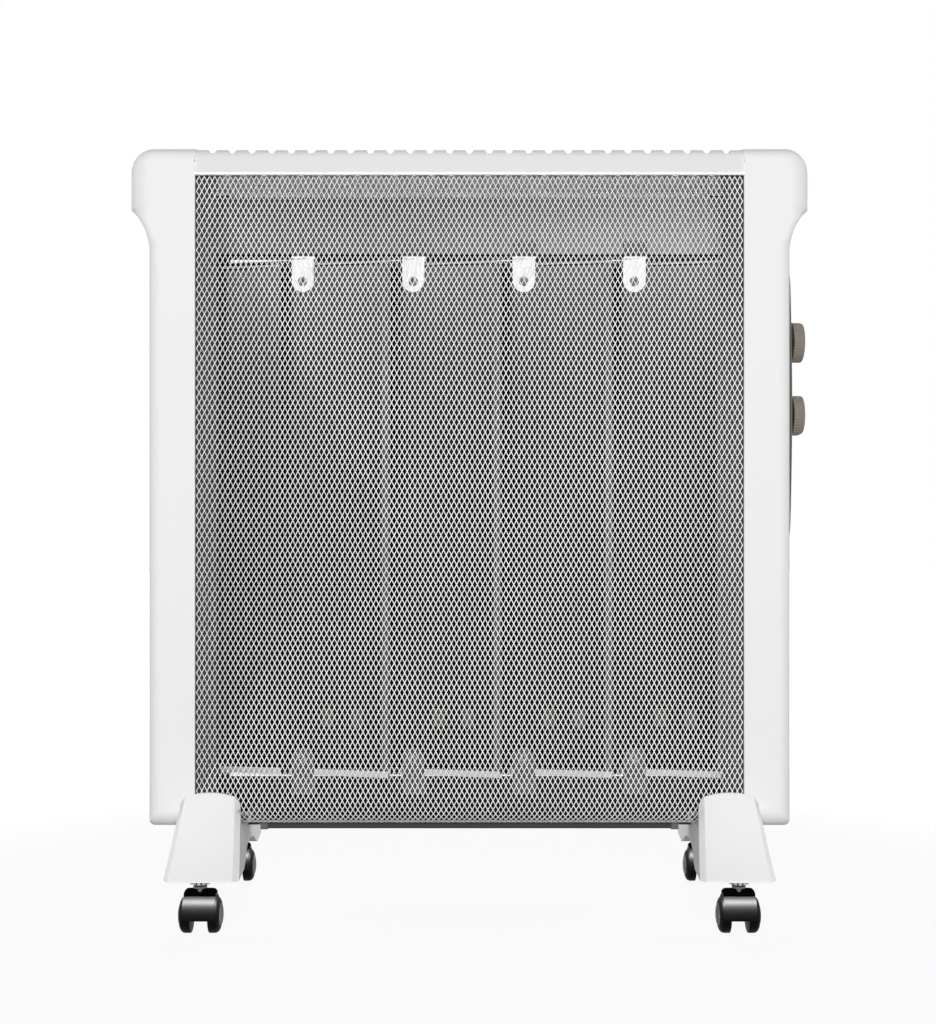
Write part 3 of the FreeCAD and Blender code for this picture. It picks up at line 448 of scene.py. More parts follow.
def chain(edges):             # the vertices of an open row of edges, in order, lowest inner end first
    links = {}
    for edge in edges:
        for vert in edge.verts:
            links.setdefault(vert, []).append(edge)
    ends = [v for v in links if len(links[v]) == 1]
    vert = min(ends, key=lambda v: v.co.z)
    row = [vert]
    used = set()
    while True:
        ahead = [e for e in links[vert] if e not in used]
        if not ahead:
            return row
        used.add(ahead[0])
        vert = ahead[0].other_vert(vert)
        row.append(vert)


def twin(bm, axis):           # adds the mirror image across an axis and joins the two
    size = Vector([-1.0 if i == axis else 1.0 for i in range(3)])
    copy = bmesh.ops.duplicate(bm, geom=bm.verts[:] + bm.edges[:] + bm.faces[:])["geom"]
    bmesh.ops.scale(bm, vec=size, verts=only(bmesh.types.BMVert, copy))
    bmesh.ops.reverse_faces(bm, faces=only(bmesh.types.BMFace, copy))
    bmesh.ops.remove_doubles(bm, verts=bm.verts, dist=tiny)


def outward(bm, direction):   # turns an open shell so that its furthest face looks along a direction
    furthest = max(bm.faces, key=lambda f: f.calc_center_median().dot(direction))
    if furthest.normal.dot(direction) < 0:
        bmesh.ops.reverse_faces(bm, faces=bm.faces)


def weighNormals(made):       # flat faces keep their shading beside rounded edges
    weights = made.modifiers.new("flatFaces", "WEIGHTED_NORMAL")
    weights.keep_sharp = True


def piece(bm, name, slot, body, nodes, sharp=32.0):
    mesh = bpy.data.meshes.new(name)
    bm.to_mesh(mesh)
    bm.free()
    mesh.shade_smooth()
    mesh.set_sharp_from_angle(angle=math.radians(sharp))
    mesh.materials.append(finishes[slot])
    made = bpy.data.objects.new(name, mesh)
    bpy.context.scene.collection.objects.link(made)
    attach(made, body)
    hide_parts(*nodes)
    return made


def softEdges(made, width):
    bevel = made.modifiers.new("softEdges", "BEVEL")
    bevel.width = width
    bevel.segments = 2
    bevel.limit_method = "ANGLE"
    bevel.angle_limit = math.radians(creaseAngle)
    bevel.miter_outer = "MITER_ARC"


def wall(made, thickness):
    solid = made.modifiers.new("wall", "SOLIDIFY")
    solid.thickness = thickness
    solid.offset = -1.0


def carve(made, cutter):                        # takes a cutter's volume out of a piece
    mesh = bpy.data.meshes.new("cutter")
    cutter.to_mesh(mesh)
    cutter.free()
    tool = bpy.data.objects.new("cutter", mesh)
    bpy.context.scene.collection.objects.link(tool)
    cut = made.modifiers.new("cut", "BOOLEAN")
    cut.object = tool
    cut.solver = "EXACT"
    graph = bpy.context.evaluated_depsgraph_get()
    carved = bpy.data.meshes.new_from_object(made.evaluated_get(graph), depsgraph=graph)
    made.modifiers.remove(cut)
    made.data = carved
    bpy.data.objects.remove(tool)
    carved.set_sharp_from_angle(angle=math.radians(creaseAngle))


def turned(profile, axis, steps):               # a row of points spun round an axis of the origin
    bm = bmesh.new()
    row = [bm.verts.new(spot) for spot in profile]
    edges = [bm.edges.new(pair) for pair in zip(row, row[1:])]
    bmesh.ops.spin(bm, geom=row + edges, cent=(0, 0, 0), axis=axis, angle=2 * math.pi, steps=steps,
                   use_merge=True)
    bmesh.ops.remove_doubles(bm, verts=bm.verts, dist=tiny)
    bmesh.ops.recalc_face_normals(bm, faces=bm.faces)
    return bm


# Side covers: a moulded shell whose front edge is rounder at the flared grip
cover = {
    "wall": 0.0025,
    "sideRound": 0.010,
    "sweepRound": 0.006,
    "gripRound": 0.0175,
    "topRound": 0.013,
    "lowRound": 0.016,
    "lowCorner": 0.005,
    "leastCorner": 0.0006,
    "topCorner": 0.020,
    "gripFace": 0.0508,
    "sweepRadius": 0.0437,
    "sweepIn": 0.3,           # share of the sweep over which its rounding shrinks
    "sweepOut": 0.35,         # and over which it grows to the grip's
    "flange": 0.008,
    "flangeLap": 0.0002,
    "cornerSteps": 6,
    "sweepSteps": 18,
    "topSteps": 12,
    "roundSteps": 9,
}


def ease(share):
    return share * share * (3 - 2 * share)


def coverRing(turn):          # the cover's edge at one angle of its rounding, as x, y, z
    low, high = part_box("right_side_cover")
    low.x -= cover["flangeLap"]      # hides the lugs that end flush with the cover
    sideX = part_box("control_fascia")[0].x
    inset = 1 - math.cos(turn)
    sink = 1 - math.sin(turn)
    sideIn = cover["sideRound"] * inset
    lowIn = cover["lowRound"] * inset
    gripIn = cover["gripRound"] * inset
    ring = [(low.x, cover["lowRound"], low.z + lowIn)]
    corner = max(cover["leastCorner"], cover["lowCorner"] - min(sideIn, lowIn))
    for i in range(cover["cornerSteps"] + 1):
        share = i / cover["cornerSteps"]
        angle = math.radians(90 * share - 90)
        size = cover["lowRound"] + (cover["sideRound"] - cover["lowRound"]) * share
        ring.append((sideX - sideIn - corner + corner * math.cos(angle), size,
                     low.z + lowIn + corner + corner * math.sin(angle)))
    sweepX = sideX + cover["sweepRadius"]
    reach = sweepX - high.x
    edgeZ = high.z - cover["gripFace"]
    sweepZ = edgeZ - math.sqrt(cover["sweepRadius"] ** 2 - reach ** 2)
    last = math.acos((reach + gripIn) / (cover["sweepRadius"] + gripIn))
    for i in range(cover["sweepSteps"] + 1):
        share = i / cover["sweepSteps"]
        shrink = ease(min(1.0, share / cover["sweepIn"]))
        grow = ease(max(0.0, share - 1 + cover["sweepOut"]) / cover["sweepOut"])
        size = cover["sideRound"] + (cover["sweepRound"] - cover["sideRound"]) * shrink
        size += (cover["gripRound"] - cover["sweepRound"]) * grow
        radius = cover["sweepRadius"] + size * inset
        angle = last * share
        ring.append((sweepX - radius * math.cos(angle), size, sweepZ + radius * math.sin(angle)))
    for i in range(cover["topSteps"] + 1):
        share = i / cover["topSteps"]
        size = cover["gripRound"] + (cover["topRound"] - cover["gripRound"]) * ease(share)
        radius = cover["topCorner"] - size * inset
        angle = math.radians(90 * share)
        ring.append((high.x - cover["topCorner"] + radius * math.cos(angle), size,
                     high.z - cover["topCorner"] + radius * math.sin(angle)))
    ring.append((low.x, cover["topRound"], high.z - cover["topRound"] * inset))
    return [Vector((x, low.y + size * sink, z)) for x, size, z in ring]


def sideCover(side, name):
    bm = bmesh.new()
    row = [bm.verts.new((spot.x, 0, spot.z)) for spot in coverRing(0)]
    edges = [bm.edges.new(pair) for pair in zip(row, row[1:])]
    for i in range(cover["roundSteps"] + 1):
        pulled = bmesh.ops.extrude_edge_only(bm, edges=edges)["geom"]
        edges = only(bmesh.types.BMEdge, pulled)
        ring = coverRing(math.radians(90 * i / cover["roundSteps"]))
        row = chain(edges)
        for vert, spot in zip(row, ring):
            vert.co = spot
    front = bm.faces.new(row)
    lip = [e for e in front.edges if {e.verts[0], e.verts[1]} == {row[0], row[-1]}]
    pulled = bmesh.ops.extrude_edge_only(bm, edges=lip)["geom"]
    bmesh.ops.translate(bm, verts=only(bmesh.types.BMVert, pulled), vec=(0, cover["flange"], 0))
    twin(bm, 1)
    bmesh.ops.recalc_face_normals(bm, faces=bm.faces)
    outward(bm, Vector((1, 0, 0)))
    if side < 0:
        flip(bm, 0)
    made = piece(bm, name, "cover_white", "chassis", [name + "_cover"])
    wall(made, cover["wall"])
    weighNormals(made)


sideCover(1, "right_side")
sideCover(-1, "left_side")
print("covers modelled")


# Top grille: a channel with round-cornered notches and a bead along its lower edge
grille = {
    "wall": 0.0025,
    "edgeRound": 0.009,
    "beadProud": 0.0008,
    "slots": 27,
    "slotPitch": 0.0166,
    "slotTop": 0.0074,
    "slotBottom": 0.0037,
    "slotDepth": 0.0043,
    "slotRound": 0.0009,
    "roundSteps": 4,
    "beadSteps": 5,
    "outerSteps": 10,
    "innerSteps": 8,
    "cutReach": 1.1,          # the cutter's depth against the grille's
    "softness": 0.0003,
}


def topGrille():
    low, high = grilleBox
    proud = grille["beadProud"]
    front = high.y - proud
    turn = grille["edgeRound"]
    beadZ = low.z + beadHeight - proud
    inside = front - grille["wall"]
    points = [(-inside, low.z), (-high.y, low.z)]
    points += arc((-high.y + proud, beadZ), proud, 180, 90, grille["beadSteps"])
    points += arc((-front + turn, high.z - turn), turn, 180, 90, grille["outerSteps"])
    points += arc((front - turn, high.z - turn), turn, 90, 0, grille["outerSteps"])
    points += arc((high.y - proud, beadZ), proud, 90, 0, grille["beadSteps"])
    points += [(high.y, low.z), (inside, low.z)]
    points += arc((front - turn, high.z - turn), turn - grille["wall"], 0, 90, grille["innerSteps"])
    points += arc((-front + turn, high.z - turn), turn - grille["wall"], 90, 180, grille["innerSteps"])
    bm = bmesh.new()
    slab(bm, points, "YZ", low.x, high.x)
    made = piece(bm, "slotted_top", "grille_white", "chassis", ["top_grille"])
    cutter = bmesh.new()
    floorZ = high.z - grille["slotDepth"]
    liftZ = high.z + grille["slotDepth"]
    bottom = grille["slotBottom"] / 2
    wide = grille["slotTop"] - bottom            # the slot's sides go on above the grille
    for i in range(grille["slots"]):
        x = (i - (grille["slots"] - 1) / 2) * grille["slotPitch"]
        notch = [(x - wide, liftZ), (x - bottom, floorZ), (x + bottom, floorZ), (x + wide, liftZ)]
        slab(cutter, notch, "XZ", low.y * grille["cutReach"], high.y * grille["cutReach"])
    floors = [e for e in cutter.edges if all(abs(v.co.z - floorZ) < tiny for v in e.verts)
              and abs(e.verts[0].co.y - e.verts[1].co.y) > high.y]
    rounded(cutter, floors, grille["slotRound"], grille["roundSteps"])
    carve(made, cutter)
    softEdges(made, grille["softness"])


topGrille()
print("grille modelled")


# Control fascia: an oval pillow with an even rim, bored for the shafts and the lamp
fascia = {
    "rim": 0.0015,
    "edgeShare": 0.34,
    "sink": 0.0005,
    "sideSteps": 16,
    "endSteps": 24,
    "boreSteps": 32,
    "boreGap": 0.0005,
    "borePast": 0.01,
    "rings": [                # inset from the outline, drop below the pillow
        (0.0, 0.0008), (0.0002, 0.0003), (0.0008, 0.0), (0.003, 0.0), (0.007, 0.0), (0.012, 0.0),
        (0.018, 0.0), (0.024, 0.0), (0.03, 0.0)],
}


def fasciaOutline(low, high, inset):
    reach = (high.y - low.y) / 2
    half = max(0.0, reach - inset)
    points = []
    for side in (1, -1):
        start = low.z + reach if side > 0 else high.z - reach
        run = side * (high.z - low.z - 2 * reach)
        for i in range(fascia["sideSteps"]):
            points.append((side * half, start + run * i / fascia["sideSteps"]))
        turn = 0 if side > 0 else 180
        points += arc((0, start + run), half, turn, turn + 180, fascia["endSteps"])[:-1]
    return points


def controlFascia():
    low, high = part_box("control_fascia")
    middle = (low.z + high.z) / 2
    reach = (high.y - low.y) / 2
    bm = bmesh.new()
    row = [bm.verts.new((low.x - fascia["sink"], y, z)) for y, z in fasciaOutline(low, high, 0.0)]
    bm.faces.new(row)
    for inset, drop in fascia["rings"]:
        ring = []
        for y, z in fasciaOutline(low, high, inset):
            bow = (high.x - low.x - fascia["rim"]) * (1 - ((z - middle) / (high.z - middle)) ** 2)
            across = 1 - inset / reach
            crown = bow * (1 - (1 - fascia["edgeShare"]) * across ** 2)
            ring.append(bm.verts.new((low.x + fascia["rim"] + crown - drop, y, z)))
        for i in range(len(ring)):
            bm.faces.new([row[i - 1], row[i], ring[i], ring[i - 1]])
        row = ring
    bmesh.ops.remove_doubles(bm, verts=bm.verts, dist=tiny)
    bmesh.ops.recalc_face_normals(bm, faces=bm.faces)
    cutter = bmesh.new()
    gaps = {"thermostat_shaft": fascia["boreGap"], "selector_shaft": fascia["boreGap"], "pilot_lamp": 0.0}
    for nodeName, gap in gaps.items():
        boreLow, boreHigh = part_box(nodeName)
        centre = ((boreLow.y + boreHigh.y) / 2, (boreLow.z + boreHigh.z) / 2)
        circle = arc(centre, (boreHigh.y - boreLow.y) / 2 + gap, 0, 360, fascia["boreSteps"])[:-1]
        slab(cutter, circle, "YZ", low.x - fascia["borePast"], high.x + fascia["borePast"])
    made = piece(bm, "fascia_pillow", "fascia_taupe", "chassis", ["control_fascia"])
    carve(made, cutter)


controlFascia()
print("fascia modelled")


# Mesh panels: two crossing families of flat strands, rolled under the body at the foot
meshPanel = {
    "pitchX": 0.004366,
    "pitchZ": 0.008256,
    "frontStrand": 0.00064,
    "frontTwist": 8.0,
    "rearStrand": 0.0006,
    "rearTwist": 22.0,
    "rearShift": 0.00025,
    "thickness": 0.0005,
    "lipRadius": 0.022,
    "lipFlat": 0.004,
    "lipSteps": 9,
    "facing": 0.2,            # a face whose normal leans more than this looks forward or back
}


def strandFamily(bm, lean, width, twist, depth, half, lowZ, highZ, finish):
    rise = highZ - lowZ
    run = lean * rise * meshPanel["pitchX"] / meshPanel["pitchZ"]
    across = width * math.hypot(meshPanel["pitchX"], meshPanel["pitchZ"]) / meshPanel["pitchZ"] / 2
    back = width * math.tan(math.radians(twist))
    count = int(2 * (half + abs(run)) / meshPanel["pitchX"])
    start = -run / 2 - count / 2 * meshPanel["pitchX"]
    corners = [(-across, back, lowZ), (across, 0, lowZ)]
    corners += [(across + run, 0, highZ), (-across + run, back, highZ)]
    strand = bm.faces.new([bm.verts.new((start + x, depth + y, z)) for x, y, z in corners])
    strand.material_index = finish
    for i in range(1, count + 1):
        copy = bmesh.ops.duplicate(bm, geom=[strand])["geom"]
        bmesh.ops.translate(bm, verts=only(bmesh.types.BMVert, copy), vec=(i * meshPanel["pitchX"], 0, 0))


def rollUnder(bm, frontY, turnZ):
    # lengths below turnZ follow the lip's quarter turn and then its flat
    radius = meshPanel["lipRadius"]
    quarter = radius * math.pi / 2
    for vert in bm.verts:
        below = turnZ - vert.co.z
        if below <= 0:
            continue
        inward = radius - (vert.co.y - frontY)
        angle = min(below, quarter) / radius
        vert.co.z = turnZ - inward * math.sin(angle)
        vert.co.y = frontY + radius - inward * math.cos(angle) + max(0.0, below - quarter)


def strandPanel(name, node, side):
    low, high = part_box("front_mesh_panel")
    turnZ = low.z + meshPanel["lipRadius"]
    quarter = meshPanel["lipRadius"] * math.pi / 2
    lowZ = turnZ - quarter - meshPanel["lipFlat"]
    bm = bmesh.new()
    rearY = low.y + meshPanel["rearShift"]
    strandFamily(bm, 1, meshPanel["frontStrand"], meshPanel["frontTwist"], low.y, high.x, lowZ, high.z, 0)
    strandFamily(bm, -1, meshPanel["rearStrand"], meshPanel["rearTwist"], rearY, high.x, lowZ, high.z, 1)
    trim(bm, 0, high.x, 1)
    trim(bm, 0, low.x, -1)
    steps = meshPanel["lipSteps"]
    slices(bm, 2, [turnZ - quarter * i / steps for i in range(steps + 1)])
    rollUnder(bm, low.y, turnZ)
    bmesh.ops.recalc_face_normals(bm, faces=bm.faces)
    lean = meshPanel["facing"]
    inward = [f for f in bm.faces if f.normal.y > lean or (f.normal.y > -lean and f.normal.z > 0)]
    bmesh.ops.reverse_faces(bm, faces=inward)
    if side > 0:
        flip(bm, 1)
    made = piece(bm, name, "mesh_paint", "chassis", [node])
    made.data.materials.append(meshShade)
    wall(made, meshPanel["thickness"])
    return made


meshShade = powderWhite("powderShade", 0.88)      # painted shade: a darker copy of the powder white for the strands that face away from the light
frontStrands = strandPanel("front_strands", "front_mesh_panel", -1)
strandPanel("rear_strands", "rear_mesh_panel", 1)
print("mesh panels modelled")


# Bottom tray: a shallow pan with a tab at each end and an apron towards the foot
tray = {
    "lift": 0.0014,
    "tabLift": 0.0005,
    "apron": 0.0105,
    "apronThickness": 0.0012,
    "tongue": 0.009,
    "tongueLap": 0.001,
    "tongueSink": 0.0005,
    "softness": 0.0003,
}


def bottomTray():
    low, high = trayBox
    half = high.x
    end = half + tray["apron"]
    under = high.z - tray["apronThickness"]
    panZ = low.z + tray["lift"]
    tabZ = low.z + tray["tabLift"]
    right = [(half - trayTab, panZ), (half - trayTab, tabZ), (half, tabZ)]
    right += [(half, under), (end, under), (end, high.z)]
    left = [(-x, z) for x, z in reversed(right)]
    bm = bmesh.new()
    slab(bm, right + left, "XZ", low.y, high.y)
    for side in (-1, 1):      # an upturned tongue closes the gap beside the foot
        near = side * (half - tray["tongueLap"])
        far = side * end
        root = high.z - tray["tongueSink"]
        tip = high.z + tray["tongue"]
        corners = [(near, root), (far, root), (far, tip), (near, tip)]
        slab(bm, corners, "XZ", -tray["apronThickness"] / 2, tray["apronThickness"] / 2)
    made = piece(bm, "tray_pan", "tray_paint", "chassis", ["bottom_tray"])
    softEdges(made, tray["softness"])


bottomTray()
print("tray modelled")


# Feet: a saddle under each end of the body, hollow down the front and chamfered along both edges
foot = {
    "seatGap": 0.001,
    "seatRound": 0.004,
    "seatSteps": 5,
    "lobe": 0.004,
    "toeRise": 0.001,
    "hollow": 0.003,
    "hollowSteps": 10,
    "archHalf": 0.062,
    "archRise": 0.0135,
    "archSteps": 12,
    "bottomHalf": 0.0304,
    "taper": 0.054,
    "narrowing": 0.010,
    "flatShare": 0.85,
    "cuts": (0.0, 0.33, 0.67, 1.0),
    "leastLip": 0.0008,
    "chamfer": 0.007,
    "bow": 0.0035,
    "crownStart": 0.080,
    "crownDrop": 0.0035,
    "shoulderDrop": 0.0095,
    "softness": 0.0006,
    "crownRise": 0.002,
    "lean": 0.003,
}


def footProfile(low, high):   # the foot from the side: front toe, seat, rear toe, arch
    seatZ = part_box("right_side_cover")[0].z
    seatY = -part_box("right_side_cover")[0].y + foot["seatGap"]
    start = Vector((-high.y, low.z + foot["toeRise"]))
    end = Vector((-seatY - foot["lobe"], high.z))
    along = (end - start).normalized()
    inward = Vector((along.y, -along.x))
    front = [(-high.y, low.z)]
    for i in range(foot["hollowSteps"] + 1):
        share = i / foot["hollowSteps"]
        spot = start.lerp(end, share) + inward * foot["hollow"] * 4 * share * (1 - share)
        front.append((spot.x, spot.y))
    front.append((-seatY, high.z))
    turn = foot["seatRound"]
    front += arc((-seatY + turn, seatZ + turn), turn, 180, 270, foot["seatSteps"])
    rear = [(-y, z) for y, z in reversed(front)]
    radius = (foot["archHalf"] ** 2 + foot["archRise"] ** 2) / (2 * foot["archRise"])
    spread = math.degrees(math.asin(foot["archHalf"] / radius))
    centre = (0, low.z + foot["archRise"] - radius)
    under = arc(centre, radius, 90 - spread, 90 + spread, foot["archSteps"])
    return front + rear + under


def shapeFoot(bm, low, high):
    seatY = -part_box("right_side_cover")[0].y + foot["seatGap"]
    flat = foot["flatShare"]
    middle = (low.x + high.x) / 2
    for vert in bm.verts:
        across, y, z = vert.co
        out = abs(across)
        past = max(0.0, out - flat) / (1 - flat)
        underToe = z < low.z + tiny and abs(y) < high.y - tiny
        if abs(y) > seatY + foot["lobe"] - tiny and not underToe:
            back = foot["bow"] * min(out / flat, 1.0) ** 2 + foot["chamfer"] * past
            y -= math.copysign(min(back, abs(y) - seatY - foot["leastLip"]), y)
        if z > foot["crownStart"]:
            fall = foot["crownDrop"] * min(out / flat, 1.0) ** 2
            fall += (foot["shoulderDrop"] - foot["crownDrop"]) * past
            z -= fall * (z - foot["crownStart"]) / (high.z - foot["crownStart"])
        half = foot["bottomHalf"] - (z - low.z) * foot["taper"]
        half -= foot["narrowing"] * (vert.co.y + high.y) / (2 * high.y)
        lean = foot["lean"] * (z - low.z) / (high.z - low.z)
        vert.co = (middle + lean + across * half, y, z)


def mouldedFoot(side, name):
    low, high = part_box("right_foot")
    high.z += foot["crownRise"]
    bm = bmesh.new()
    slab(bm, footProfile(low, high), "YZ", -1.0, 1.0)
    cuts = [foot["flatShare"] * cut for cut in foot["cuts"]]
    slices(bm, 0, [-cut for cut in reversed(cuts[1:])] + cuts)
    shapeFoot(bm, low, high)
    if side < 0:
        flip(bm, 0)
    made = piece(bm, name + "_moulding", "foot_white", "chassis", [name])
    softEdges(made, foot["softness"])
    weighNormals(made)


mouldedFoot(1, "right_foot")
mouldedFoot(-1, "left_foot")
print("feet modelled")


# Casters: a hood with its stem block, a web for the axle, and two domed wheels
caster = {
    "hoodRadius": 0.0164,
    "hoodWall": 0.0011,
    "hoodHalf": 0.0129,
    "lipDrop": 0.0022,
    "rearRise": 0.0083,
    "hoodRise": 0.021,
    "blockFront": 0.0056,
    "blockRear": 0.0045,
    "blockRound": 0.0032,
    "blockSteps": 5,
    "frontSteps": 16,
    "rearSteps": 4,
    "innerSteps": 20,
    "crease": 0.0003,
    "cornerAngles": (0, 30, 55, 75),
    "softness": 0.0003,
    "webHalf": 0.0059,
    "webAngles": (172, 33),
    "webSteps": 16,
    "hubSteps": 8,
    "hub": 0.004,
    "hubFace": 0.0155,
    "hubRadius": 0.0088,
    "stemRadius": 0.004,
    "stemFoot": 0.0024,
    "collarRadius": 0.0056,
    "collarLow": 0.0368,
    "collarHigh": 0.0388,
    "collarChamfer": 0.0004,
    "stemSteps": 40,
    "flangeLow": 0.0401,
    "flangeRadius": 0.008,
    "coreRadius": 0.007,
    "coreSink": 0.0003,
    "coreSteps": 36,
    "notches": 12,
    "notchHalf": 6.0,
    "toothSteps": 4,
    "wheelSteps": 56,
    "wheelCrease": 40.0,
    "wheelProfile": [         # place along the axle and radius, in mm
        (17.8, 0.0), (17.75, 2.8), (17.55, 5.4), (17.1, 7.5), (16.5, 8.5), (15.9, 8.9), (15.9, 9.3),
        (16.25, 9.7), (16.2, 10.3), (15.9, 11.4), (15.3, 12.6), (14.4, 13.7), (13.2, 14.45), (11.8, 14.7),
        (7.85, 14.7), (7.3, 14.45), (7.1, 13.9), (7.1, 2.1), (17.1, 2.1), (17.1, 0.0)],
}
casterNames = ["front_left", "front_right", "rear_left", "rear_right"]
casterPieces = []
hubFinish = mottled("hubGrey", (150.0, 2.0), rgb(0.2), rgb(0.28), (0.4, 0.1), Specular_IOR_Level=0.04)
blockFinish = casterPlastic("casterMatte", 0.0)


def hoodProfile():            # the hood from the side, about its axle
    outer = caster["hoodRadius"]
    inner = outer - caster["hoodWall"]
    turn = caster["blockRound"]
    top = caster["hoodRise"]
    front = -caster["blockFront"]
    rear = caster["blockRear"]
    lip = math.degrees(math.asin(caster["lipDrop"] / outer))
    back = math.degrees(math.asin(caster["rearRise"] / outer))
    meet = math.degrees(math.acos(rear / outer))
    crease = math.degrees(math.acos((front - caster["crease"]) / outer))
    points = arc((0, 0), outer, 180 + lip, crease, caster["frontSteps"])
    points += arc((front + turn, top - turn), turn, 180, 90, caster["blockSteps"])
    points += arc((rear - turn, top - turn), turn, 90, 0, caster["blockSteps"])
    points += arc((0, 0), outer, meet, back, caster["rearSteps"])
    points += arc((0, 0), inner, back, 180 + lip, caster["innerSteps"])
    return points


def casterHood(name, place):
    bm = bmesh.new()
    half = caster["hoodHalf"]
    turn = caster["blockRound"]
    slab(bm, hoodProfile(), "YZ", -half, half)
    cuts = [half - turn + turn * math.sin(math.radians(angle)) for angle in caster["cornerAngles"]]
    slices(bm, 0, cuts + [-cut for cut in cuts])
    shoulder = caster["hoodRise"] - turn
    for vert in bm.verts:
        over = abs(vert.co.x) - (half - turn)
        if vert.co.z > shoulder - tiny and over > 0:
            fall = turn - math.sqrt(max(0.0, turn * turn - over * over))
            vert.co.z -= fall * (vert.co.z - shoulder) / turn
    for face in bm.faces:     # the stem block lies in the shade of the foot
        middle = face.calc_center_median()
        if math.hypot(middle.y, middle.z) > caster["hoodRadius"] + caster["crease"]:
            face.material_index = 1
    reach = caster["hoodRadius"] - caster["hoodWall"] / 2
    web = arc((0, 0), reach, *caster["webAngles"], caster["webSteps"])
    web += arc((0, 0), caster["hub"], 0, -180, caster["hubSteps"])
    slab(bm, web, "YZ", -caster["webHalf"], caster["webHalf"])
    bmesh.ops.translate(bm, verts=bm.verts, vec=place)
    made = piece(bm, name + "_hood", "caster_black", name + "_swivel", [name + "_caster_hood"])
    made.data.materials.append(blockFinish)
    softEdges(made, caster["softness"])
    weighNormals(made)
    casterPieces.append(made)


def casterWheel(name, side, place):
    profile = [(x / 1000, 0, radius / 1000) for x, radius in caster["wheelProfile"]]
    bm = turned(profile, (1, 0, 0), caster["wheelSteps"])
    for face in bm.faces:
        middle = face.calc_center_median()
        if middle.x > caster["hubFace"] and math.hypot(middle.y, middle.z) < caster["hubRadius"]:
            face.material_index = 1
    if side == "left":
        flip(bm, 0)
    bmesh.ops.translate(bm, verts=bm.verts, vec=place)
    wheel = name + "_wheel_" + side
    made = piece(bm, wheel + "_turned", "caster_black", wheel, [name + "_caster_wheel_" + side],
                 caster["wheelCrease"])
    made.data.materials.append(hubFinish)
    casterPieces.append(made)


def casterStem(name):
    low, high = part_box(name + "_caster_stem")
    thin = caster["stemRadius"]
    wide = caster["collarRadius"]
    under = caster["collarLow"]
    over = caster["collarHigh"]
    slim = caster["stemFoot"]
    cut = caster["collarChamfer"]
    profile = [(0, low.z), (slim, low.z), (slim, under), (wide, under), (wide, over - cut)]
    profile += [(wide - cut, over), (thin, over), (thin, high.z), (0, high.z)]
    bm = turned([(radius, 0, z) for radius, z in profile], (0, 0, 1), caster["stemSteps"])
    bmesh.ops.translate(bm, verts=bm.verts, vec=((low.x + high.x) / 2, (low.y + high.y) / 2, 0))
    piece(bm, name + "_stem_turned", "caster_steel", name + "_swivel", [name + "_caster_stem"])


def casterSockets():          # a notched flange under the foot round each stem
    bm = bmesh.new()
    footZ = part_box("right_foot")[0].z
    core = caster["coreRadius"]
    step = 360 / caster["notches"]
    for name in casterNames:
        low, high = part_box(name + "_caster_stem")
        middle = ((low.x + high.x) / 2, (low.y + high.y) / 2)
        for i in range(caster["notches"]):
            start = step * (i + 0.5) + caster["notchHalf"]
            end = step * (i + 1.5) - caster["notchHalf"]
            tooth = arc(middle, caster["flangeRadius"], start, end, caster["toothSteps"])
            tooth += arc(middle, core, end, start, caster["toothSteps"])
            slab(bm, tooth, "XY", caster["flangeLow"], footZ)
        plain = len(bm.faces)
        circle = arc(middle, core, 0, 360, caster["coreSteps"])[:-1]
        slab(bm, circle, "XY", caster["flangeLow"] + caster["coreSink"], footZ)
        bm.faces.ensure_lookup_table()
        # painted shade: the core behind the teeth takes the black rubber, so that the notches read dark
        for face in bm.faces[plain:]:
            face.material_index = 1
    made = piece(bm, "caster_sockets", "bush_nylon", "chassis", ["caster_bushes"])
    made.data.materials.append(finishes["gland_rubber"])


for name in casterNames:
    low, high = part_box(name + "_caster_axle")
    hub = (low + high) / 2
    casterHood(name, hub)
    casterStem(name)
    for side in ("left", "right"):
        casterWheel(name, side, hub)
casterSockets()
print("casters modelled")


# Stage: floor, lights, camera
camera = {
    "place": (0.0, -1.399, 0.314),
    "focalPixels": 1619.0,
    "frameHeight": 1024.0,
    "frameWidth": 936.0,
    "middle": (469.5, 542.0),
    "sensor": 36.0,
    "clipEnd": 50.0,
}
stage = {
    "floorSize": 15.0,
    "floorRoughness": 0.9,
    "floorGlow": 0.76,
    "glowStrength": 1.2,
    "floorTone": 0.3,
    "shadowFade": (0.45, 1.2),
    "ambient": 0.06,
    "keyPlace": (0.0, -2.55, 0.8),
    "keySize": (1.4, 1.0),
    "keyPower": 63.0,
    "backPlace": (0.0, 2.6, 0.9),
    "backPower": 36.0,
    "topPlace": (0.0, -0.35, 1.6),
    "topSize": (1.4, 0.3),
    "topPower": 1700.0,
    "sideReach": 2.2,
    "sideBack": 0.7,
    "sideHeight": 0.9,
    "sideSize": (0.8, 0.8),
    "sidePower": 16.0,
    "meshPower": 11.0,
    "clipPower": 40.0,
    "target": (0.0, 0.0, 0.32),
}


def setCamera():
    data = bpy.data.cameras.new("camera")
    data.sensor_fit = "AUTO"
    data.sensor_width = camera["sensor"]
    data.lens = camera["focalPixels"] / camera["frameHeight"] * camera["sensor"]
    data.shift_x = (camera["frameWidth"] / 2 - camera["middle"][0]) / camera["frameHeight"]
    data.shift_y = (camera["middle"][1] - camera["frameHeight"] / 2) / camera["frameHeight"]
    data.clip_end = camera["clipEnd"]
    made = bpy.data.objects.new("camera", data)
    made.location = camera["place"]
    made.rotation_euler = (math.radians(90), 0, 0)
    bpy.context.scene.collection.objects.link(made)
    bpy.context.scene.camera = made


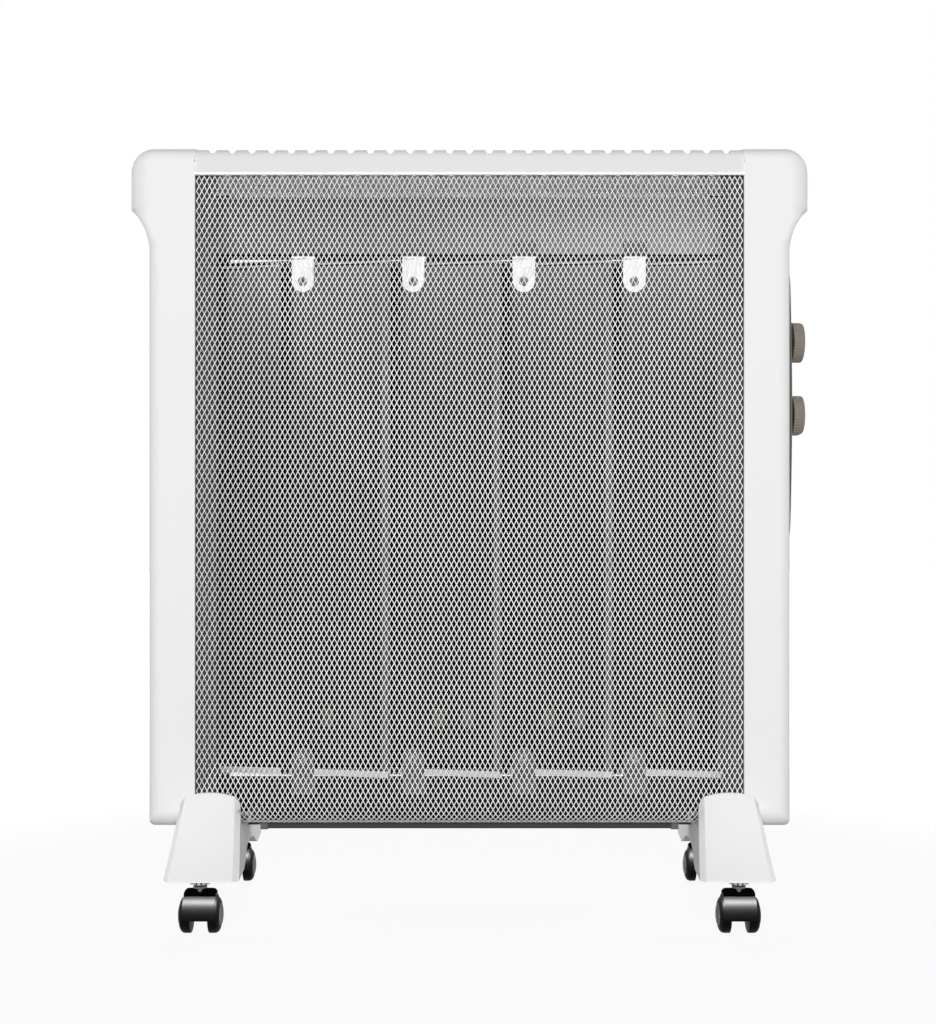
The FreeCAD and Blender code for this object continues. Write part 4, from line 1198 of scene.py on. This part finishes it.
def areaLight(name, place, size, power, rays):
    data = bpy.data.lights.new(name, "AREA")
    data.shape = "RECTANGLE"
    data.size = size[0]
    data.size_y = size[1]
    data.energy = power
    made = bpy.data.objects.new(name, data)
    made.location = place
    made.visible_glossy = rays == "glossy"
    made.visible_diffuse = rays == "diffuse"
    aim = Vector(stage["target"]) - Vector(place)
    made.rotation_euler = aim.to_track_quat("-Z", "Y").to_euler()
    bpy.context.scene.collection.objects.link(made)
    return made


def lightOnly(light, pieces): # the light falls on these pieces alone
    lit = bpy.data.collections.new("litPieces")
    for made in pieces:
        lit.objects.link(made)
    light.light_linking.receiver_collection = lit
    light.light_linking.blocker_collection = lit


def setStage():
    bm = bmesh.new()
    bmesh.ops.create_grid(bm, x_segments=1, y_segments=1, size=stage["floorSize"])
    mesh = bpy.data.meshes.new("floor")
    bm.to_mesh(mesh)
    bm.free()
    floor = bpy.data.objects.new("floor", mesh)
    bpy.context.scene.collection.objects.link(floor)
    material = bpy.data.materials.new("paleFloor")
    material.use_nodes = True
    tree = material.node_tree
    wire = Wire(tree)
    matte = tree.nodes["Principled BSDF"]
    matte.inputs["Base Color"].default_value = rgb(stage["floorTone"])
    matte.inputs["Roughness"].default_value = stage["floorRoughness"]
    matte.inputs["Specular IOR Level"].default_value = 0.0
    place = wire.node("ShaderNodeTexCoord", output=3)
    away = wire.node("ShaderNodeVectorMath", {0: place}, {"operation": "LENGTH"}, 1)
    far = away.ramp(*stage["shadowFade"])
    glow = wire.node("ShaderNodeEmission", {"Color": rgb(1.0), "Strength": stage["glowStrength"]})
    mixed = tree.nodes.new("ShaderNodeMixShader")
    share = stage["floorGlow"] + far * (1.0 - stage["floorGlow"])
    tree.links.new((seenDirect(tree) * share).socket, mixed.inputs[0])
    tree.links.new(matte.outputs[0], mixed.inputs[1])
    tree.links.new(glow.socket, mixed.inputs[2])
    tree.links.new(mixed.outputs[0], tree.nodes["Material Output"].inputs[0])
    mesh.materials.append(material)


def seenDirect(tree):         # 1 for rays that show the backdrop itself
    rays = tree.nodes.new("ShaderNodeLightPath")
    seen = Wire(tree, rays.outputs["Is Camera Ray"])
    for name in ("Is Glossy Ray", "Is Transmission Ray"):
        seen = seen.math("MAXIMUM", seen, Wire(tree, rays.outputs[name]))
    return seen


def setWorld():
    world = bpy.data.worlds.new("studio")
    bpy.context.scene.world = world
    world.use_nodes = True
    tree = world.node_tree
    ambient = stage["ambient"]
    level = ambient + seenDirect(tree) * (1.0 - ambient)
    background = tree.nodes["Background"]
    tree.links.new(level.socket, background.inputs["Strength"])
    background.inputs["Color"].default_value = rgb(1.0)


setCamera()
setStage()
setWorld()
areaLight("key", stage["keyPlace"], stage["keySize"], stage["keyPower"], "diffuse")
areaLight("back", stage["backPlace"], stage["keySize"], stage["backPower"], "diffuse")
for side in (-1, 1):
    place = (side * stage["sideReach"], stage["sideBack"], stage["sideHeight"])
    areaLight("side", place, stage["sideSize"], stage["sidePower"], "diffuse")
clipLight = areaLight("clipLight", stage["keyPlace"], stage["keySize"], stage["clipPower"], "diffuse")
lightOnly(clipLight, [frame["nodes"]["element_clips"]])
meshLight = areaLight("meshLight", stage["keyPlace"], stage["keySize"], stage["meshPower"], "diffuse")
lightOnly(meshLight, [frontStrands])
topLight = areaLight("top", stage["topPlace"], stage["topSize"], stage["topPower"], "glossy")
lightOnly(topLight, casterPieces)
bpy.context.scene.view_settings.view_transform = "Standard"
print("stage set")
